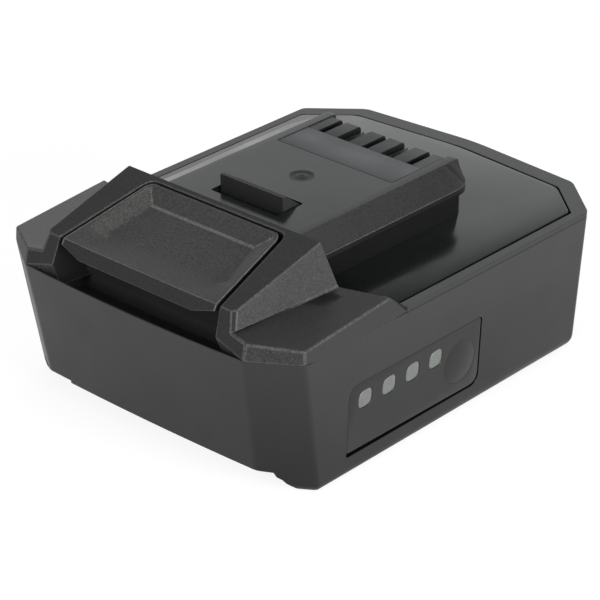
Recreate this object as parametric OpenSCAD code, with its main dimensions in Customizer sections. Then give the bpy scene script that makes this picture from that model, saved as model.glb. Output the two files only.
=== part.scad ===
/* [Cells] */
// Diameter of one round cell
cell_d = 18.2; // [17.8:0.1:19]
// Length of one round cell
cell_l = 65; // [62:0.5:70]
// Gap between neighbouring cells
cell_gap = 0.4; // [0.3:0.1:1]
// Height of the raised cap at a cell's positive end
cap_h = 0.8; // [0.5:0.1:1.2]
// Diameter of the raised cap
cap_d = 11; // [8:0.5:13]

/* [Cell pack] */
// Length of each cell holder along the cells
holder_l = 12; // [8:0.5:16]
// Distance from the holders' ends to the outermost cells' edges
holder_end = 2.2; // [1.6:0.1:3]
// Diameter of the pegs under the main board
peg_d = 5; // [3:0.5:6]
// Plastic left under and over a cell in its holder
saddle_t = 1; // [0.8:0.1:2]
// Thickness of the nickel strips
strip_t = 0.3; // [0.2:0.05:0.5]
// Height of the nickel strips
strip_h = 8; // [5:0.5:10]
// Length of a strip past the middle of a cell
strip_over = 6; // [4:0.5:7]
// Width of a strip's tail up to the board
tail_w = 3; // [2:0.5:5]
// Thickness of the insulating sheets over the strips
insulator_t = 0.4; // [0.2:0.1:0.8]

/* [Housing] */
// Thickness of the tub's walls
wall = 2.2; // [1.8:0.1:2.8]
// Thickness of the tub's floor
floor_t = 2; // [1.5:0.1:3]
// Height of the two feet under the floor
foot_h = 2.9; // [1.5:0.1:4]
// Width of each foot
foot_w = 10.5; // [9:0.5:14]
// Radius of the tub's lower edge
bottom_round = 2.7; // [1:0.1:2.8]
// Front corner cut, measured across
front_cut_x = 10.2; // [8:0.1:12]
// Front corner cut, measured along
front_cut_y = 6.7; // [5:0.1:8]
// Back corner cut, measured across
back_cut_x = 11.4; // [9:0.1:13]
// Back corner cut, measured along
back_cut_y = 10.4; // [8:0.1:12]
// Outward bow of the front wall
front_bow = 1.07; // [0.2:0.05:1.5]
// Outward peak of the back wall
back_peak = 2.44; // [1:0.05:3]
// Lean of the front wall, run per rise
front_lean = 0.1706; // [0.1:0.005:0.2]
// Lean of the side walls, run per rise
side_lean = 0.0447; // [0.02:0.005:0.06]
// Lean of the back wall, run per rise
back_lean = 0.0419; // [0.02:0.005:0.06]
// Room between the first cell and the front wall's corner cut
front_room = 0.6; // [0.4:0.1:3]
// Room between the last cell and the back wall's corner cut
back_room = 0.5; // [0.4:0.1:3]
// Height of the rim above the seam
rim_h = 1.25; // [0.8:0.05:1.6]
// Open joint between the rim and the cover's plate
groove_w = 0.8; // [0.4:0.1:1.2]
// Thickness of the cover's plate
plate_t = 2.2; // [1.8:0.1:3]
// Width of the ledge under the plate
ledge_w = 2; // [1:0.1:2.4]
// Thickness of the ledge under the plate
ledge_t = 1.8; // [1.2:0.1:3]
// Distance from the front corners to the start of the rim
rim_start = 37.1; // [36.6:0.1:38]

/* [Slide rail] */
// Height of the rail above the plate
rail_h = 11.25; // [10.5:0.05:13]
// Width across the rail's flat top
rail_top_w = 35.2; // [34.6:0.1:38]
// Width across the rail's flanges
rail_flange_w = 49.4; // [46:0.1:52]
// Width across the rail's neck
rail_neck_w = 43; // [41:0.1:44.5]
// Height of the groove under the flanges
rail_groove_h = 6.3; // [5:0.1:7]
// Thickness of the flange's edge
rail_lip_h = 1.5; // [1:0.1:2]
// Wall of the hollow rail
rail_wall = 2; // [1.5:0.1:2.5]
// Radius of the rail's back corners, seen from above
rail_corner_r = 5; // [3:0.5:7]
// Distance from the front corners to the rail's back end
rail_end = 80.7; // [78:0.1:84]
// Diameter of the shallow round mark on the rail
mark_d = 5; // [3:0.5:6]
// Depth of that mark
mark_depth = 0.4; // [0.2:0.1:0.8]

/* [Hood] */
// Height of the hood's back edge above the rail
hood_rise = 1.85; // [1:0.05:3]
// Width across the hood
hood_w = 54.6; // [53:0.1:56]
// Hood's back edge, from the front corners
hood_back = 26.9; // [26:0.1:27.5]
// Hood's front ends, from the front corners
hood_front = 2.5; // [2:0.1:3.5]
// Drop from the hood's back edge to its front ends
hood_drop = 6.1; // [5:0.1:7]
// Width of the button's opening at its back
open_back_w = 38; // [37.4:0.1:39.5]
// Width of the button's opening at its front
open_front_w = 46.2; // [45:0.1:47]
// Thickness of the beam behind the button
beam_t = 3.1; // [2.5:0.1:3.6]
// Length of the hood's feet behind its back edge
hood_foot_l = 7.5; // [6:0.1:8]
// Set-back of the hood's feet at their back ends
hood_foot_in = 2; // [0.5:0.1:2.5]
// Height of the shoulders at the front, above the seam
shoulder_h = 3.6; // [2.5:0.1:4]
// Width of the sloping edge at a shoulder's back end
shoulder_edge = 5.4; // [4:0.1:6]
// Set-back of the shoulders' and the hood's front faces
front_step = 0.7; // [0.4:0.1:1]

/* [Latch] */
// Travel of the latch
latch_travel = 3.6; // [3.2:0.1:4]
// Height of the hook above the rail
hook_rise = 3; // [2.5:0.1:3.2]
// Width of the hook
hook_w = 17.8; // [14:0.1:20]
// Length of the hook's ramp
hook_l = 5.3; // [4:0.1:6]
// Length of the hook's flat top
hook_flat = 0.9; // [0.5:0.1:2]
// Hook's locking face, from the front corners
hook_y = 35.7; // [35:0.1:37]
// Open length of the slot in front of the hook
hook_gap = 2.4; // [1:0.1:3]
// Gap round the release button
button_gap = 0.6; // [0.4:0.05:0.8]
// Lip's lower edge, from the front corners
lip_y = 1.1; // [0.8:0.1:2]
// Corner cut at each end of the lip's lower edge
lip_cut = 5.6; // [3:0.1:7]
// Width of the latch's carrier plate
carrier_w = 36; // [32:0.5:36.5]
// Thickness of the carrier plate
carrier_t = 2; // [1.5:0.1:2.5]
// Depth of the carrier's top under the rail's top
carrier_drop = 6.5; // [6.3:0.1:6.8]
// Depth of the button's finger dish
dish_depth = 2.4; // [1.5:0.1:2.8]
// Width of the border round the dish
dish_border = 0.9; // [0.6:0.1:1.5]
// Height of the button's front lip
lip_h = 3.2; // [2.5:0.1:3.4]
// Level length in front of the dish
dish_front = 8; // [6:0.1:9]
// Slope of the dish's back and side walls, measured along
dish_back = 2.4; // [1.5:0.1:3]
// Slope of the dish's side walls, measured across
dish_side = 3.4; // [2.5:0.1:4.5]
// Depth of the finger pocket, from the front corners
pocket_l = 10; // [9:0.1:12]
// Thickness of the finger pocket's floor and walls
pocket_t = 1.5; // [1:0.1:1.6]
// Thickness of the skirt that closes the pocket under the button
skirt_t = 1.5; // [1:0.1:2]
// Height of the pins that hold the springs' ends
seat_h = 2; // [1:0.1:2.4]
// Wire diameter of a latch spring
wire_d = 0.7; // [0.5:0.05:0.9]
// Outer diameter of a latch spring
spring_d = 6; // [5.6:0.1:7]
// Number of turns of a latch spring
spring_turns = 6; // [4:1:7]

/* [Terminals] */
// Width of the terminal block
term_w = 32.6; // [31.6:0.1:33]
// Length of the terminal block
term_l = 19.2; // [17:0.1:21]
// Distance between neighbouring terminal slots
slot_pitch = 6.3; // [6:0.1:6.4]
// Width of the two power slots
power_slot_w = 3.4; // [3:0.1:4]
// Width of the three signal slots
signal_slot_w = 1.6; // [1.2:0.1:2]
// Length of the slots
slot_l = 8.8; // [7:0.1:10]
// Depth of the slots
slot_depth = 10.5; // [8:0.1:12]
// Depth of the contacts under the slots' mouths
contact_drop = 1.5; // [1:0.1:3]
// Set-back of the contacts from the slots' ends
contact_in = 0.8; // [0.4:0.1:1.5]
// Width of the contacts' tails
contact_tail = 2; // [1:0.1:3]
// Thickness of the contact metal
contact_t = 0.5; // [0.3:0.05:0.7]

/* [Circuit board] */
// Thickness of the main board
board_t = 1.6; // [1:0.1:2]
// Gap between the cell holders and the main board
board_gap = 1; // [0.5:0.1:2]
// Height of the parts on the main board
part_h = 2.4; // [1.5:0.1:3]
// Free height over those parts
head_room = 0.95; // [0.5:0.05:2]
// Diameter of the temperature sensor
sensor_d = 3; // [2:0.1:4]
// Length of the temperature sensor
sensor_l = 6; // [4:0.1:8]
// Diameter of the temperature sensor's leads
lead_d = 0.6; // [0.4:0.1:1]
// Length of one power transistor, across the pack
transistor_l = 9; // [6:0.1:10]
// Width of one power transistor
transistor_w = 6.5; // [5:0.1:8]
// Distance between two power transistors
transistor_gap = 2.5; // [1:0.1:4]
// Side of the controller chip
chip_side = 9; // [6:0.1:12]
// Distance from the terminal block to the controller chip
chip_gap = 7.5; // [4:0.1:9]
// Length of one board capacitor
capacitor_l = 3.2; // [2:0.1:4]
// Width of one board capacitor
capacitor_w = 1.6; // [1:0.1:2]

/* [Gauge] */
// Length of the gauge panel
panel_l = 41.6; // [40:0.1:44]
// Height of the gauge panel
panel_h = 16.2; // [15:0.1:18]
// Height of the panel's lower edge
panel_z = 5.4; // [4.5:0.1:6]
// Panel's front end, from the front corners
panel_y = 20.3; // [18:0.1:22]
// Width of the panel's border behind the wall
panel_border = 2; // [1:0.1:3]
// Radius of the pins between the panel and its board
panel_pin_r = 1; // [0.8:0.1:1.2]
// Distance from the panel's edges to those pins
panel_pin_in = 2; // [1.5:0.1:2.2]
// Radius of the panel's rounded corners
panel_r = 2.6; // [1:0.1:3]
// Open joint round the panel
panel_gap = 0.4; // [0.2:0.05:0.6]
// Length of one light window
window_l = 4; // [3:0.1:4.6]
// Height of one light window
window_h = 3.4; // [2.5:0.1:4]
// Radius of a light window's corners
window_r = 1.1; // [0.5:0.1:1.2]
// Distance from the panel's front end to the first window's centre
window_first = 5.1; // [4.5:0.1:6]
// Gap between the last window and the push button's flange
window_gap = 0.25; // [0.1:0.05:1]
// Thickness of the light guide that joins the windows
guide_t = 0.6; // [0.4:0.1:0.8]
// Height of the windows' centres
window_z = 16.9; // [15.5:0.1:18]
// Diameter of the gauge's push button
key_d = 10; // [8:0.1:10.6]
// Height of the push button's centre
key_z = 13; // [12.4:0.1:13.6]
// Distance from the push button's centre to the panel's back end
key_end = 6.5; // [6.3:0.1:7]
// Travel of the push button
key_travel = 0.5; // [0.3:0.05:0.6]
// Depth of the push button's dished face
key_dish = 0.6; // [0.3:0.05:0.8]
// Width of the push button's flange
key_flange_w = 0.8; // [0.5:0.1:1]
// Thickness of the push button's flange
key_flange_t = 0.8; // [0.6:0.1:1]
// Thickness of the gauge board
gauge_board_t = 1; // [0.6:0.1:1.4]
// Length of one light chip
led_l = 2; // [1:0.1:3]
// Width of one light chip
led_h = 1.6; // [1:0.1:2.4]
// Thickness of one light chip
led_t = 0.7; // [0.4:0.1:0.8]
// Diameter of the gauge's switch
switch_d = 4.5; // [3:0.1:6]
// Height of the gauge's switch
switch_t = 0.7; // [0.5:0.1:1]
// Thickness of the flat cable between the boards
ribbon_t = 0.4; // [0.2:0.05:0.6]
// Width of the flat cable
ribbon_w = 8; // [5:0.5:10]
// Length of the flat cable on the main board
ribbon_lap = 3; // [2:0.5:5]
// Free room behind the gauge
gauge_gap = 1.3; // [1:0.1:2]

/* [Fasteners] */
// Diameter of the housing screws' shanks
screw_d = 2.6; // [2:0.1:3]
// Diameter of their heads
head_d = 4.6; // [4:0.1:5]
// Height of their heads
head_h = 1.8; // [1.2:0.1:2]
// Length of their shanks
screw_l = 14; // [10:0.5:16]
// Height of the head's seat above the feet
head_seat = 2.6; // [2.2:0.1:3]
// Radius of the screw posts
post_r = 2.3; // [2.1:0.05:2.4]
// Height of the tub's posts
post_h = 9; // [7:0.5:11]
// Distance from the front corner cuts to the front posts
post_front = 3.5; // [3:0.1:8]
// Distance from the back corner cuts to the back posts
post_back = 3.2; // [3:0.1:8]
// Diameter of the latch screws' shanks
latch_screw_d = 2; // [1.6:0.1:2.4]
// Distance of the latch screws from the middle
latch_screw_x = 6; // [5:0.1:8]
// Height of the latch screws' heads
latch_head_t = 1.4; // [1:0.1:1.6]
// Depth of the latch screws in the button
latch_grip = 1.7; // [1.2:0.1:1.8]

/* [Clearances] */
// Clearance of a piece that moves
slip = 0.3; // [0.2:0.05:0.4]
// Clearance of a piece that is fixed
fit = 0.1; // [0.05:0.01:0.15]

/* [Hidden] */
$fn = 64;
cells = 5;
windows = 4;
bow_steps = 8;
far = 200;
overlap = 0.2;
slab = 0.01;

// Heights, from the feet up
floor_z = foot_h + floor_t;
axis_z = floor_z + saddle_t + cell_d / 2;
cell_top = axis_z + cell_d / 2;
holder_top = cell_top + saddle_t;
board_z = holder_top + board_gap;
board_top = board_z + board_t;
plate_z = board_top + part_h + head_room;
plate_top = plate_z + plate_t;
seam_z = plate_top - rim_h;
rail_top = plate_top + rail_h;
hood_top = rail_top + hood_rise;
hood_tip = hood_top - hood_drop;
hook_top = rail_top + hook_rise;
carrier_top = rail_top - carrier_drop;
carrier_z = carrier_top - carrier_t;
pocket_z = holder_top + slip;
pocket_floor = pocket_z + pocket_t;
pocket_back_top = carrier_z - latch_travel - slip;

// Widths, from the cells out
strip_x = cell_l / 2;
insulator_x = strip_x + strip_t;
insulator_out = insulator_x + insulator_t;
ribbon_x = insulator_out + gauge_gap;
gauge_board_x = ribbon_x + ribbon_t;
gauge_face_x = gauge_board_x + gauge_board_t;
switch_x = gauge_face_x + switch_t;
key_tip_x = switch_x + slip + key_travel;
wall_in_x = key_tip_x + key_flange_t + slip;
wall_out_x = wall_in_x + wall;
function half_w(z) = wall_out_x + side_lean * (z - key_z);

// Lengths, centred on the whole pack
cell_pitch = cell_d + cell_gap;
cell_span = (cells - 1) * cell_pitch + cell_d;
front_slope = front_cut_y / front_cut_x;
back_slope = back_cut_y / back_cut_x;
front_bevel = sqrt(1 + front_slope * front_slope);
back_bevel = sqrt(1 + back_slope * back_slope);
axis_rise = seam_z - axis_z;
front_reach = front_room + wall * front_bevel
  + (strip_x - half_w(axis_z) + front_cut_x) * front_slope;
back_reach = back_room + wall * back_bevel
  + (strip_x - half_w(axis_z) + back_cut_x) * back_slope;
front_over = front_lean * axis_rise + front_bow;
back_over = back_lean * axis_rise + back_peak;
pack_y = (front_reach + front_over - back_reach - back_over) / 2;
front_axis_y = pack_y - cell_span / 2 - front_reach;
back_axis_y = pack_y + cell_span / 2 + back_reach;
function front_y(z) = front_axis_y - front_lean * (z - axis_z);
function back_y(z) = back_axis_y + back_lean * (z - axis_z);
function cell_y(i) = pack_y + (i - (cells - 1) / 2) * cell_pitch;
datum_y = front_y(seam_z);

// Outline of the housing at a height, drawn in by an inset
function outline(z, inset) =
  let (w = half_w(z) - inset,
       f = front_y(z) + inset,
       b = back_y(z) - inset,
       fx = half_w(z) - front_cut_x - inset * (front_bevel - 1) / front_slope,
       bx = half_w(z) - back_cut_x - inset * (back_bevel - 1) / back_slope,
       fy = front_y(z) + (front_cut_x - inset) * front_slope + inset * front_bevel,
       by = back_y(z) - (back_cut_x - inset) * back_slope - inset * back_bevel)
  concat(
    [for (i = [0:bow_steps]) let (s = 2 * i / bow_steps - 1) [s * fx, f - front_bow * (1 - s * s)]],
    [[w, fy], [w, by], [bx, b], [0, b + back_peak], [-bx, b], [-w, by], [-w, fy]]);

// Places along the housing
rim_y = datum_y + rim_start;
rail_y = datum_y + rail_end;
hood_back_y = datum_y + hood_back;
hood_front_y = datum_y + hood_front;
beam_y = hood_back_y - beam_t;
hook_face_y = datum_y + hook_y;
hook_back_y = hook_face_y + hook_l;
term_y = rail_y - term_l;
slot_y = rail_y - slot_l;
panel_y0 = datum_y + panel_y;
panel_y1 = panel_y0 + panel_l;
panel_mid_y = panel_y0 + panel_l / 2;
panel_mid_z = panel_z + panel_h / 2;
key_y = panel_y1 - key_end;
key_flange_r = key_d / 2 + key_flange_w;
flange_reach = key_flange_r + slip;
window_drop = max(0, window_z - window_h / 2 - key_z);
window_tuck = flange_reach - sqrt(max(0, pow(flange_reach, 2) - pow(window_drop, 2)));
window_y = panel_y0 + window_first;
window_last_y = key_y - flange_reach - window_gap - window_l / 2 + window_tuck;
window_pitch = (window_last_y - window_y) / (windows - 1);
lean_angle = atan(side_lean);

// Places of the screw posts
post_x = insulator_out + post_r + slip;
post_front_y = front_y(axis_z) + front_cut_y + post_front;
post_back_y = back_y(axis_z) - back_cut_y - post_back;
posts = [for (sx = [-1, 1]) for (y = [post_front_y, post_back_y]) [sx * post_x, y]];

// Latch and button
opening_slope = (open_front_w - open_back_w) / 2 / (beam_y - hood_front_y);
function opening_half(y) = open_back_w / 2 + (beam_y - y) * opening_slope;
function button_half(y) = opening_half(y) - button_gap;
hood_fall = hood_drop / (hood_back_y - hood_front_y);
function hood_z(y) = hood_top - (hood_back_y - y) * hood_fall;
beam_top = hood_top - beam_t * hood_fall / 2;
button_back_y = beam_y - button_gap;
lip_front_y = datum_y + lip_y;
pocket_half = opening_half(datum_y);
pocket_front_y = front_y(pocket_z) + wall + slip;
pocket_back_y = datum_y + pocket_l;
carrier_front_y = pocket_back_y - slip - skirt_t;
carrier_back_y = beam_y - slip;
skirt_low = pocket_floor + latch_travel + slip;
seat_r = spring_d / 2 - wire_d - slip;
spring_x = carrier_w / 2 - spring_d / 2 - slip;
spring_y = pocket_back_y + pocket_t + spring_d / 2 + slip;
shelf_y = spring_y + spring_d / 2 + slip;
latch_screw_y = (spring_y + carrier_back_y) / 2;

// Main board
board_half = strip_x - fit;
board_y0 = shelf_y + slip;
board_y1 = cell_y(cells - 1) + tail_w;

// Shared shapes
module hull_of(points) {
  hull() polyhedron(points = points, faces = [[for (i = [0:len(points) - 1]) i]]);
}

module layer(z, inset) {
  translate([0, 0, z]) linear_extrude(slab) polygon(outline(z, inset));
}

module block(low, high) {
  translate(low) cube(high - low);
}

module both_sides() {
  children();
  mirror([1, 0, 0]) children();
}

module behind(y) {
  intersection() {
    children();
    translate([-far, y]) square(2 * far);
  }
}

module ahead_of(y) {
  intersection() {
    children();
    translate([-far, y - 2 * far]) square(2 * far);
  }
}

// Stand a shape drawn in the side wall's plane on that wall: x along the pack, y up, z outwards
module on_side_wall(depth) {
  translate([wall_out_x, 0, key_z])
    rotate([0, lean_angle, 0])
      translate([-depth, 0, -key_z])
        multmatrix([[0, 0, 1, 0], [1, 0, 0, 0], [0, 1, 0, 0], [0, 0, 0, 1]])
          children();
}

module rounded_plan(x0, y0, x1, y1, r) {
  translate([x0 + r, y0]) square([x1 - x0 - 2 * r, y1 - y0]);
  translate([x0, y0 + r]) square([x1 - x0, y1 - y0 - 2 * r]);
  for (x = [x0 + r, x1 - r]) for (y = [y0 + r, y1 - r]) translate([x, y]) circle(r);
}

// Panel outline with one square corner at the front of its lower edge
module panel_plan(grow) {
  rounded_plan(panel_y0 - grow, panel_z - grow, panel_y1 + grow, panel_z + panel_h + grow, panel_r);
  translate([panel_y0 - grow, panel_z - grow]) square(2 * panel_r);
}

// Housing
module lower_housing() {
  color([0.13, 0.13, 0.135]) difference() {
    union() {
      difference() {
        hull() {
          for (a = [0:30:90]) layer(bottom_round * (1 - cos(a)), bottom_round * (1 - sin(a)));
          layer(seam_z - slab, 0);
        }
        hull() {
          layer(floor_z, wall);
          layer(seam_z + overlap, wall);
        }
        block([-half_w(0) + foot_w, -far, -1], [half_w(0) - foot_w, far, foot_h]);
      }
      rim();
      ledge();
      for (p = posts) translate([p[0], p[1], floor_z - overlap])
        cylinder(r = post_r, h = post_h - floor_z + overlap);
    }
    for (p = posts) translate([p[0], p[1], 0]) {
      translate([0, 0, -1]) cylinder(d = head_d + 6 * fit, h = head_seat + 1);
      cylinder(d = screw_d + 4 * fit, h = post_h + 1);
    }
    on_side_wall(wall + 2) linear_extrude(wall + 4) panel_plan(panel_gap);
  }
}

module rim() {
  translate([0, 0, seam_z - overlap]) linear_extrude(rim_h + overlap) behind(rim_y) difference() {
    polygon(outline(seam_z, 0));
    polygon(outline(seam_z, wall));
  }
}

module ledge() {
  difference() {
    translate([0, 0, plate_z - ledge_t]) linear_extrude(ledge_t) behind(rim_y + slip) difference() {
      polygon(outline(plate_z - ledge_t, wall - overlap));
      polygon(outline(plate_z - ledge_t, wall + ledge_w));
    }
    for (p = posts) translate([p[0], p[1], 0]) cylinder(r = post_r + slip, h = far);
  }
}

module upper_housing() {
  color([0.12, 0.12, 0.125]) {
    difference() {
      union() {
        cover_plate();
        both_sides() shoulder();
        both_sides() hood_arm();
        hood_beam();
        rail_body();
      }
      button_opening();
      latch_passage();
      rail_hollow();
      hook_slot();
      terminal_window();
      translate([0, (hook_back_y + term_y) / 2, rail_top - mark_depth]) cylinder(d = mark_d, h = rail_h);
    }
    finger_pocket();
    cover_posts();
  }
}

module cover_plate() {
  translate([0, 0, plate_z]) linear_extrude(plate_t)
    behind(rim_y - overlap) polygon(outline(seam_z, wall + groove_w));
  translate([0, 0, seam_z]) linear_extrude(rim_h)
    ahead_of(rim_y - slip) polygon(outline(seam_z, 0));
}

// Sloping shoulder beside the hood, highest at the front
module shoulder() {
  w = half_w(seam_z);
  top = seam_z + shoulder_h;
  back = rim_y - slip;
  hull_of([
    [pocket_half, datum_y, seam_z], [w - front_cut_x, datum_y, seam_z],
    [w, datum_y + front_cut_y, seam_z], [w, back, seam_z], [pocket_half, back, seam_z],
    [pocket_half, datum_y + 2 * front_step, top + front_step],
    [w - front_cut_x, datum_y + front_step, top],
    [w - front_step, datum_y + front_cut_y + front_step, top - front_step],
    [w - shoulder_edge, back, plate_top], [pocket_half, back, plate_top]
  ]);
}

// One side of the hood, from its foot on the shoulder to its sloping top
module hood_arm() {
  out = hood_w / 2;
  foot_back_y = hood_back_y + hood_foot_l;
  inner = opening_half(beam_y);
  hull_of([
    [opening_half(datum_y), datum_y + front_step, seam_z], [out, datum_y + 2 * front_step, seam_z],
    [out - hood_foot_in, foot_back_y, seam_z], [inner, foot_back_y, seam_z], [inner, beam_y, seam_z],
    [opening_half(hood_front_y), hood_front_y, hood_tip], [out - front_step, hood_front_y, hood_tip],
    [out, hood_back_y, hood_top], [inner, hood_back_y, hood_top], [inner, beam_y, beam_top]
  ]);
}

module hood_beam() {
  x = open_back_w / 2 + overlap;
  low = carrier_top + slip;
  hull_of([
    [-x, beam_y, low], [x, beam_y, low], [-x, hood_back_y, low], [x, hood_back_y, low],
    [-x, beam_y, beam_top], [x, beam_y, beam_top],
    [-x, hood_back_y, hood_top], [x, hood_back_y, hood_top]
  ]);
}

module rail_body() {
  neck = rail_neck_w / 2;
  flange = rail_flange_w / 2;
  top = rail_top_w / 2;
  groove_top = plate_top + rail_groove_h;
  lip_top = groove_top + rail_lip_h;
  start_y = hood_back_y - 1;
  intersection() {
    translate([0, rail_y, 0]) rotate([90, 0, 0]) linear_extrude(rail_y - start_y) polygon([
      [-neck, plate_z], [neck, plate_z], [neck, groove_top], [flange, groove_top], [flange, lip_top],
      [top, rail_top], [-top, rail_top], [-flange, lip_top], [-flange, groove_top], [-neck, groove_top]
    ]);
    linear_extrude(far) rounded_plan(-flange, start_y - 2 * rail_corner_r, flange, rail_y, rail_corner_r);
  }
}

module button_opening() {
  front = datum_y - 2 * front_bow;
  translate([0, 0, pocket_z - overlap]) linear_extrude(far) polygon([
    [-opening_half(front), front], [opening_half(front), front],
    [opening_half(beam_y), beam_y], [-opening_half(beam_y), beam_y]
  ]);
}

module latch_passage() {
  x = hook_w / 2 + 2 * slip;
  block([-x, beam_y - overlap, 0], [x, hook_back_y, carrier_top + slip]);
}

module rail_hollow() {
  x = rail_neck_w / 2 - rail_wall;
  block([-x, hood_back_y, 0], [x, rail_y - rail_wall, rail_top - rail_wall]);
}

module hook_slot() {
  x = hook_w / 2 + 2 * slip;
  block([-x, hook_face_y - hook_gap, 0], [x, hook_back_y + slip, far]);
}

module terminal_window() {
  x = term_w / 2 + fit;
  block([-x, term_y - fit, 0], [x, rail_y + fit, far]);
}

// Pocket behind the tub's front wall that a fingertip reaches into, with the latch springs' seats
module finger_pocket() {
  out = pocket_half + pocket_t;
  guide = carrier_w / 2 + slip;
  side_top = carrier_top - latch_travel - slip;
  block([-out, pocket_front_y, pocket_z], [out, shelf_y, pocket_floor]);
  block([-guide, pocket_back_y, pocket_z], [guide, pocket_back_y + pocket_t, pocket_back_top]);
  both_sides() {
    block([pocket_half, pocket_front_y, pocket_z], [out, shelf_y, seam_z + overlap]);
    block([guide, pocket_back_y, pocket_z], [out, pocket_back_y + pocket_t, seam_z + overlap]);
    block([guide, pocket_back_y, pocket_z], [guide + pocket_t, shelf_y, side_top]);
    translate([spring_x, spring_y, pocket_z]) cylinder(r = seat_r, h = pocket_t + seat_h);
  }
}

module cover_posts() {
  for (p = posts) difference() {
    translate([p[0], p[1], post_h])
      cylinder(r = post_r, h = (p[1] < 0 ? seam_z : plate_z) - post_h + overlap);
    translate([p[0], p[1], 0]) cylinder(d = screw_d + fit, h = screw_l + head_seat + head_h);
  }
}

module housing_screws() {
  color([0.45, 0.46, 0.48]) for (p = posts) translate([p[0], p[1], head_seat])
    screw(head_d, head_h, screw_d, screw_l);
}

// Screw with its head down, its seat at height zero and a cross drive
module screw(head, head_t, shank, length) {
  drive_w = head / 5;
  drive_l = head / 1.5;
  difference() {
    translate([0, 0, -head_t]) cylinder(d = head, h = head_t);
    for (a = [0, 90]) rotate(a) translate([-drive_l / 2, -drive_w / 2, -1.5 * head_t])
      cube([drive_l, drive_w, head_t]);
  }
  cylinder(d = shank, h = length);
}

// Terminals
function slot_x(i) = (i - 2) * slot_pitch;
function is_power(i) = i % 2 == 1;
function slot_w(i) = is_power(i) ? power_slot_w : signal_slot_w;
slot_floor = rail_top - slot_depth;
tail_hole = contact_t + 2 * fit;
tail_y = slot_y + 2 * contact_in;

module terminal_block() {
  color([0.24, 0.26, 0.3]) difference() {
    block([-term_w / 2, term_y, board_top], [term_w / 2, rail_y, rail_top]);
    for (i = [0:4]) {
      block([slot_x(i) - slot_w(i) / 2, slot_y, slot_floor], [slot_x(i) + slot_w(i) / 2, far, far]);
      block([slot_x(i) - tail_hole / 2, tail_y - fit, 0],
            [slot_x(i) + tail_hole / 2, tail_y + contact_tail + fit, far]);
    }
  }
}

// Contact that stands on the slot's floor, with a tail down to the board
module contact(i) {
  x = slot_x(i);
  reach = slot_w(i) / 2 - fit;
  top = rail_top - contact_drop;
  y0 = slot_y + contact_in;
  y1 = rail_y - contact_in;
  block([x - contact_t / 2, tail_y, board_top],
        [x + contact_t / 2, tail_y + contact_tail, slot_floor + overlap]);
  if (is_power(i)) {
    block([x - reach, y0, slot_floor], [x + reach, y1, slot_floor + contact_t]);
    for (s = [-1, 1])
      translate([x + s * (reach - contact_t / 2) - contact_t / 2, y0, slot_floor])
        cube([contact_t, y1 - y0, top - slot_floor]);
  } else {
    block([x - contact_t / 2, y0, slot_floor], [x + contact_t / 2, y1, top]);
  }
}

module positive_contact() {
  color([0.72, 0.6, 0.35]) contact(3);
}

module negative_contact() {
  color([0.72, 0.6, 0.35]) contact(1);
}

module signal_contacts() {
  color([0.72, 0.6, 0.35]) for (i = [0, 2, 4]) contact(i);
}

// Latch
module release_button() {
  bx = button_half(button_back_y);
  fx = button_half(hood_front_y);
  back_z = hood_z(button_back_y);
  lip_low = hood_tip - lip_h;
  crease_y = hood_front_y + dish_front;
  dish_y = button_back_y - dish_border;
  floor_y = dish_y - dish_back;
  floor_z = hood_z(floor_y) - dish_depth;
  edge_x = bx - dish_border;
  front_x = fx - dish_border;
  color([0.075, 0.075, 0.08]) difference() {
    hull_of([for (s = [-1, 1]) each [
      [s * bx, button_back_y, carrier_top], [s * bx, button_back_y, back_z],
      [s * fx, hood_front_y, hood_tip], [s * fx, hood_front_y, hood_tip - lip_h / 2],
      [s * (fx - lip_cut), lip_front_y, lip_low],
      [s * button_half(carrier_front_y), carrier_front_y, carrier_top]
    ]]);
    hull_of([for (s = [-1, 1]) each [
      [s * (edge_x - dish_side), floor_y, floor_z], [s * (front_x - dish_side), crease_y, hood_tip - slip],
      [s * front_x, hood_front_y - slip, hood_tip], [s * front_x, hood_front_y - slip, hook_top],
      [s * edge_x, dish_y, back_z], [s * edge_x, dish_y, hook_top]
    ]]);
    block([-far, carrier_front_y, 0], [far, far, carrier_top]);
    both_sides() translate([latch_screw_x, latch_screw_y, 0])
      cylinder(d = latch_screw_d + fit, h = carrier_top + latch_grip + slip);
  }
}

// Carrier plate under the button with the wedge-shaped hook at its back end
module latch_hook() {
  skirt_half = button_half(carrier_front_y);
  color([0.09, 0.09, 0.095]) difference() {
    union() {
      block([-carrier_w / 2, carrier_front_y, carrier_z], [carrier_w / 2, carrier_back_y, carrier_top]);
      block([-skirt_half, carrier_front_y, skirt_low], [skirt_half, carrier_front_y + skirt_t, carrier_top]);
      block([-hook_w / 2, carrier_back_y - overlap, carrier_z], [hook_w / 2, hook_back_y, carrier_top]);
      translate([hook_w / 2, 0, 0]) rotate([90, 0, -90]) linear_extrude(hook_w) polygon([
        [-hook_face_y, carrier_z], [-hook_face_y, hook_top], [-hook_face_y - hook_flat, hook_top],
        [-hook_back_y, rail_top - slip], [-hook_back_y, carrier_z]
      ]);
      both_sides() translate([spring_x, spring_y, carrier_z - seat_h])
        cylinder(r = seat_r, h = seat_h + overlap);
    }
    both_sides() translate([latch_screw_x, latch_screw_y, 0]) cylinder(d = latch_screw_d + 2 * fit, h = far);
  }
}

module latch_screws() {
  color([0.45, 0.46, 0.48]) both_sides() translate([latch_screw_x, latch_screw_y, carrier_z])
    screw(2 * latch_screw_d, latch_head_t, latch_screw_d, carrier_t + latch_grip);
}

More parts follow.
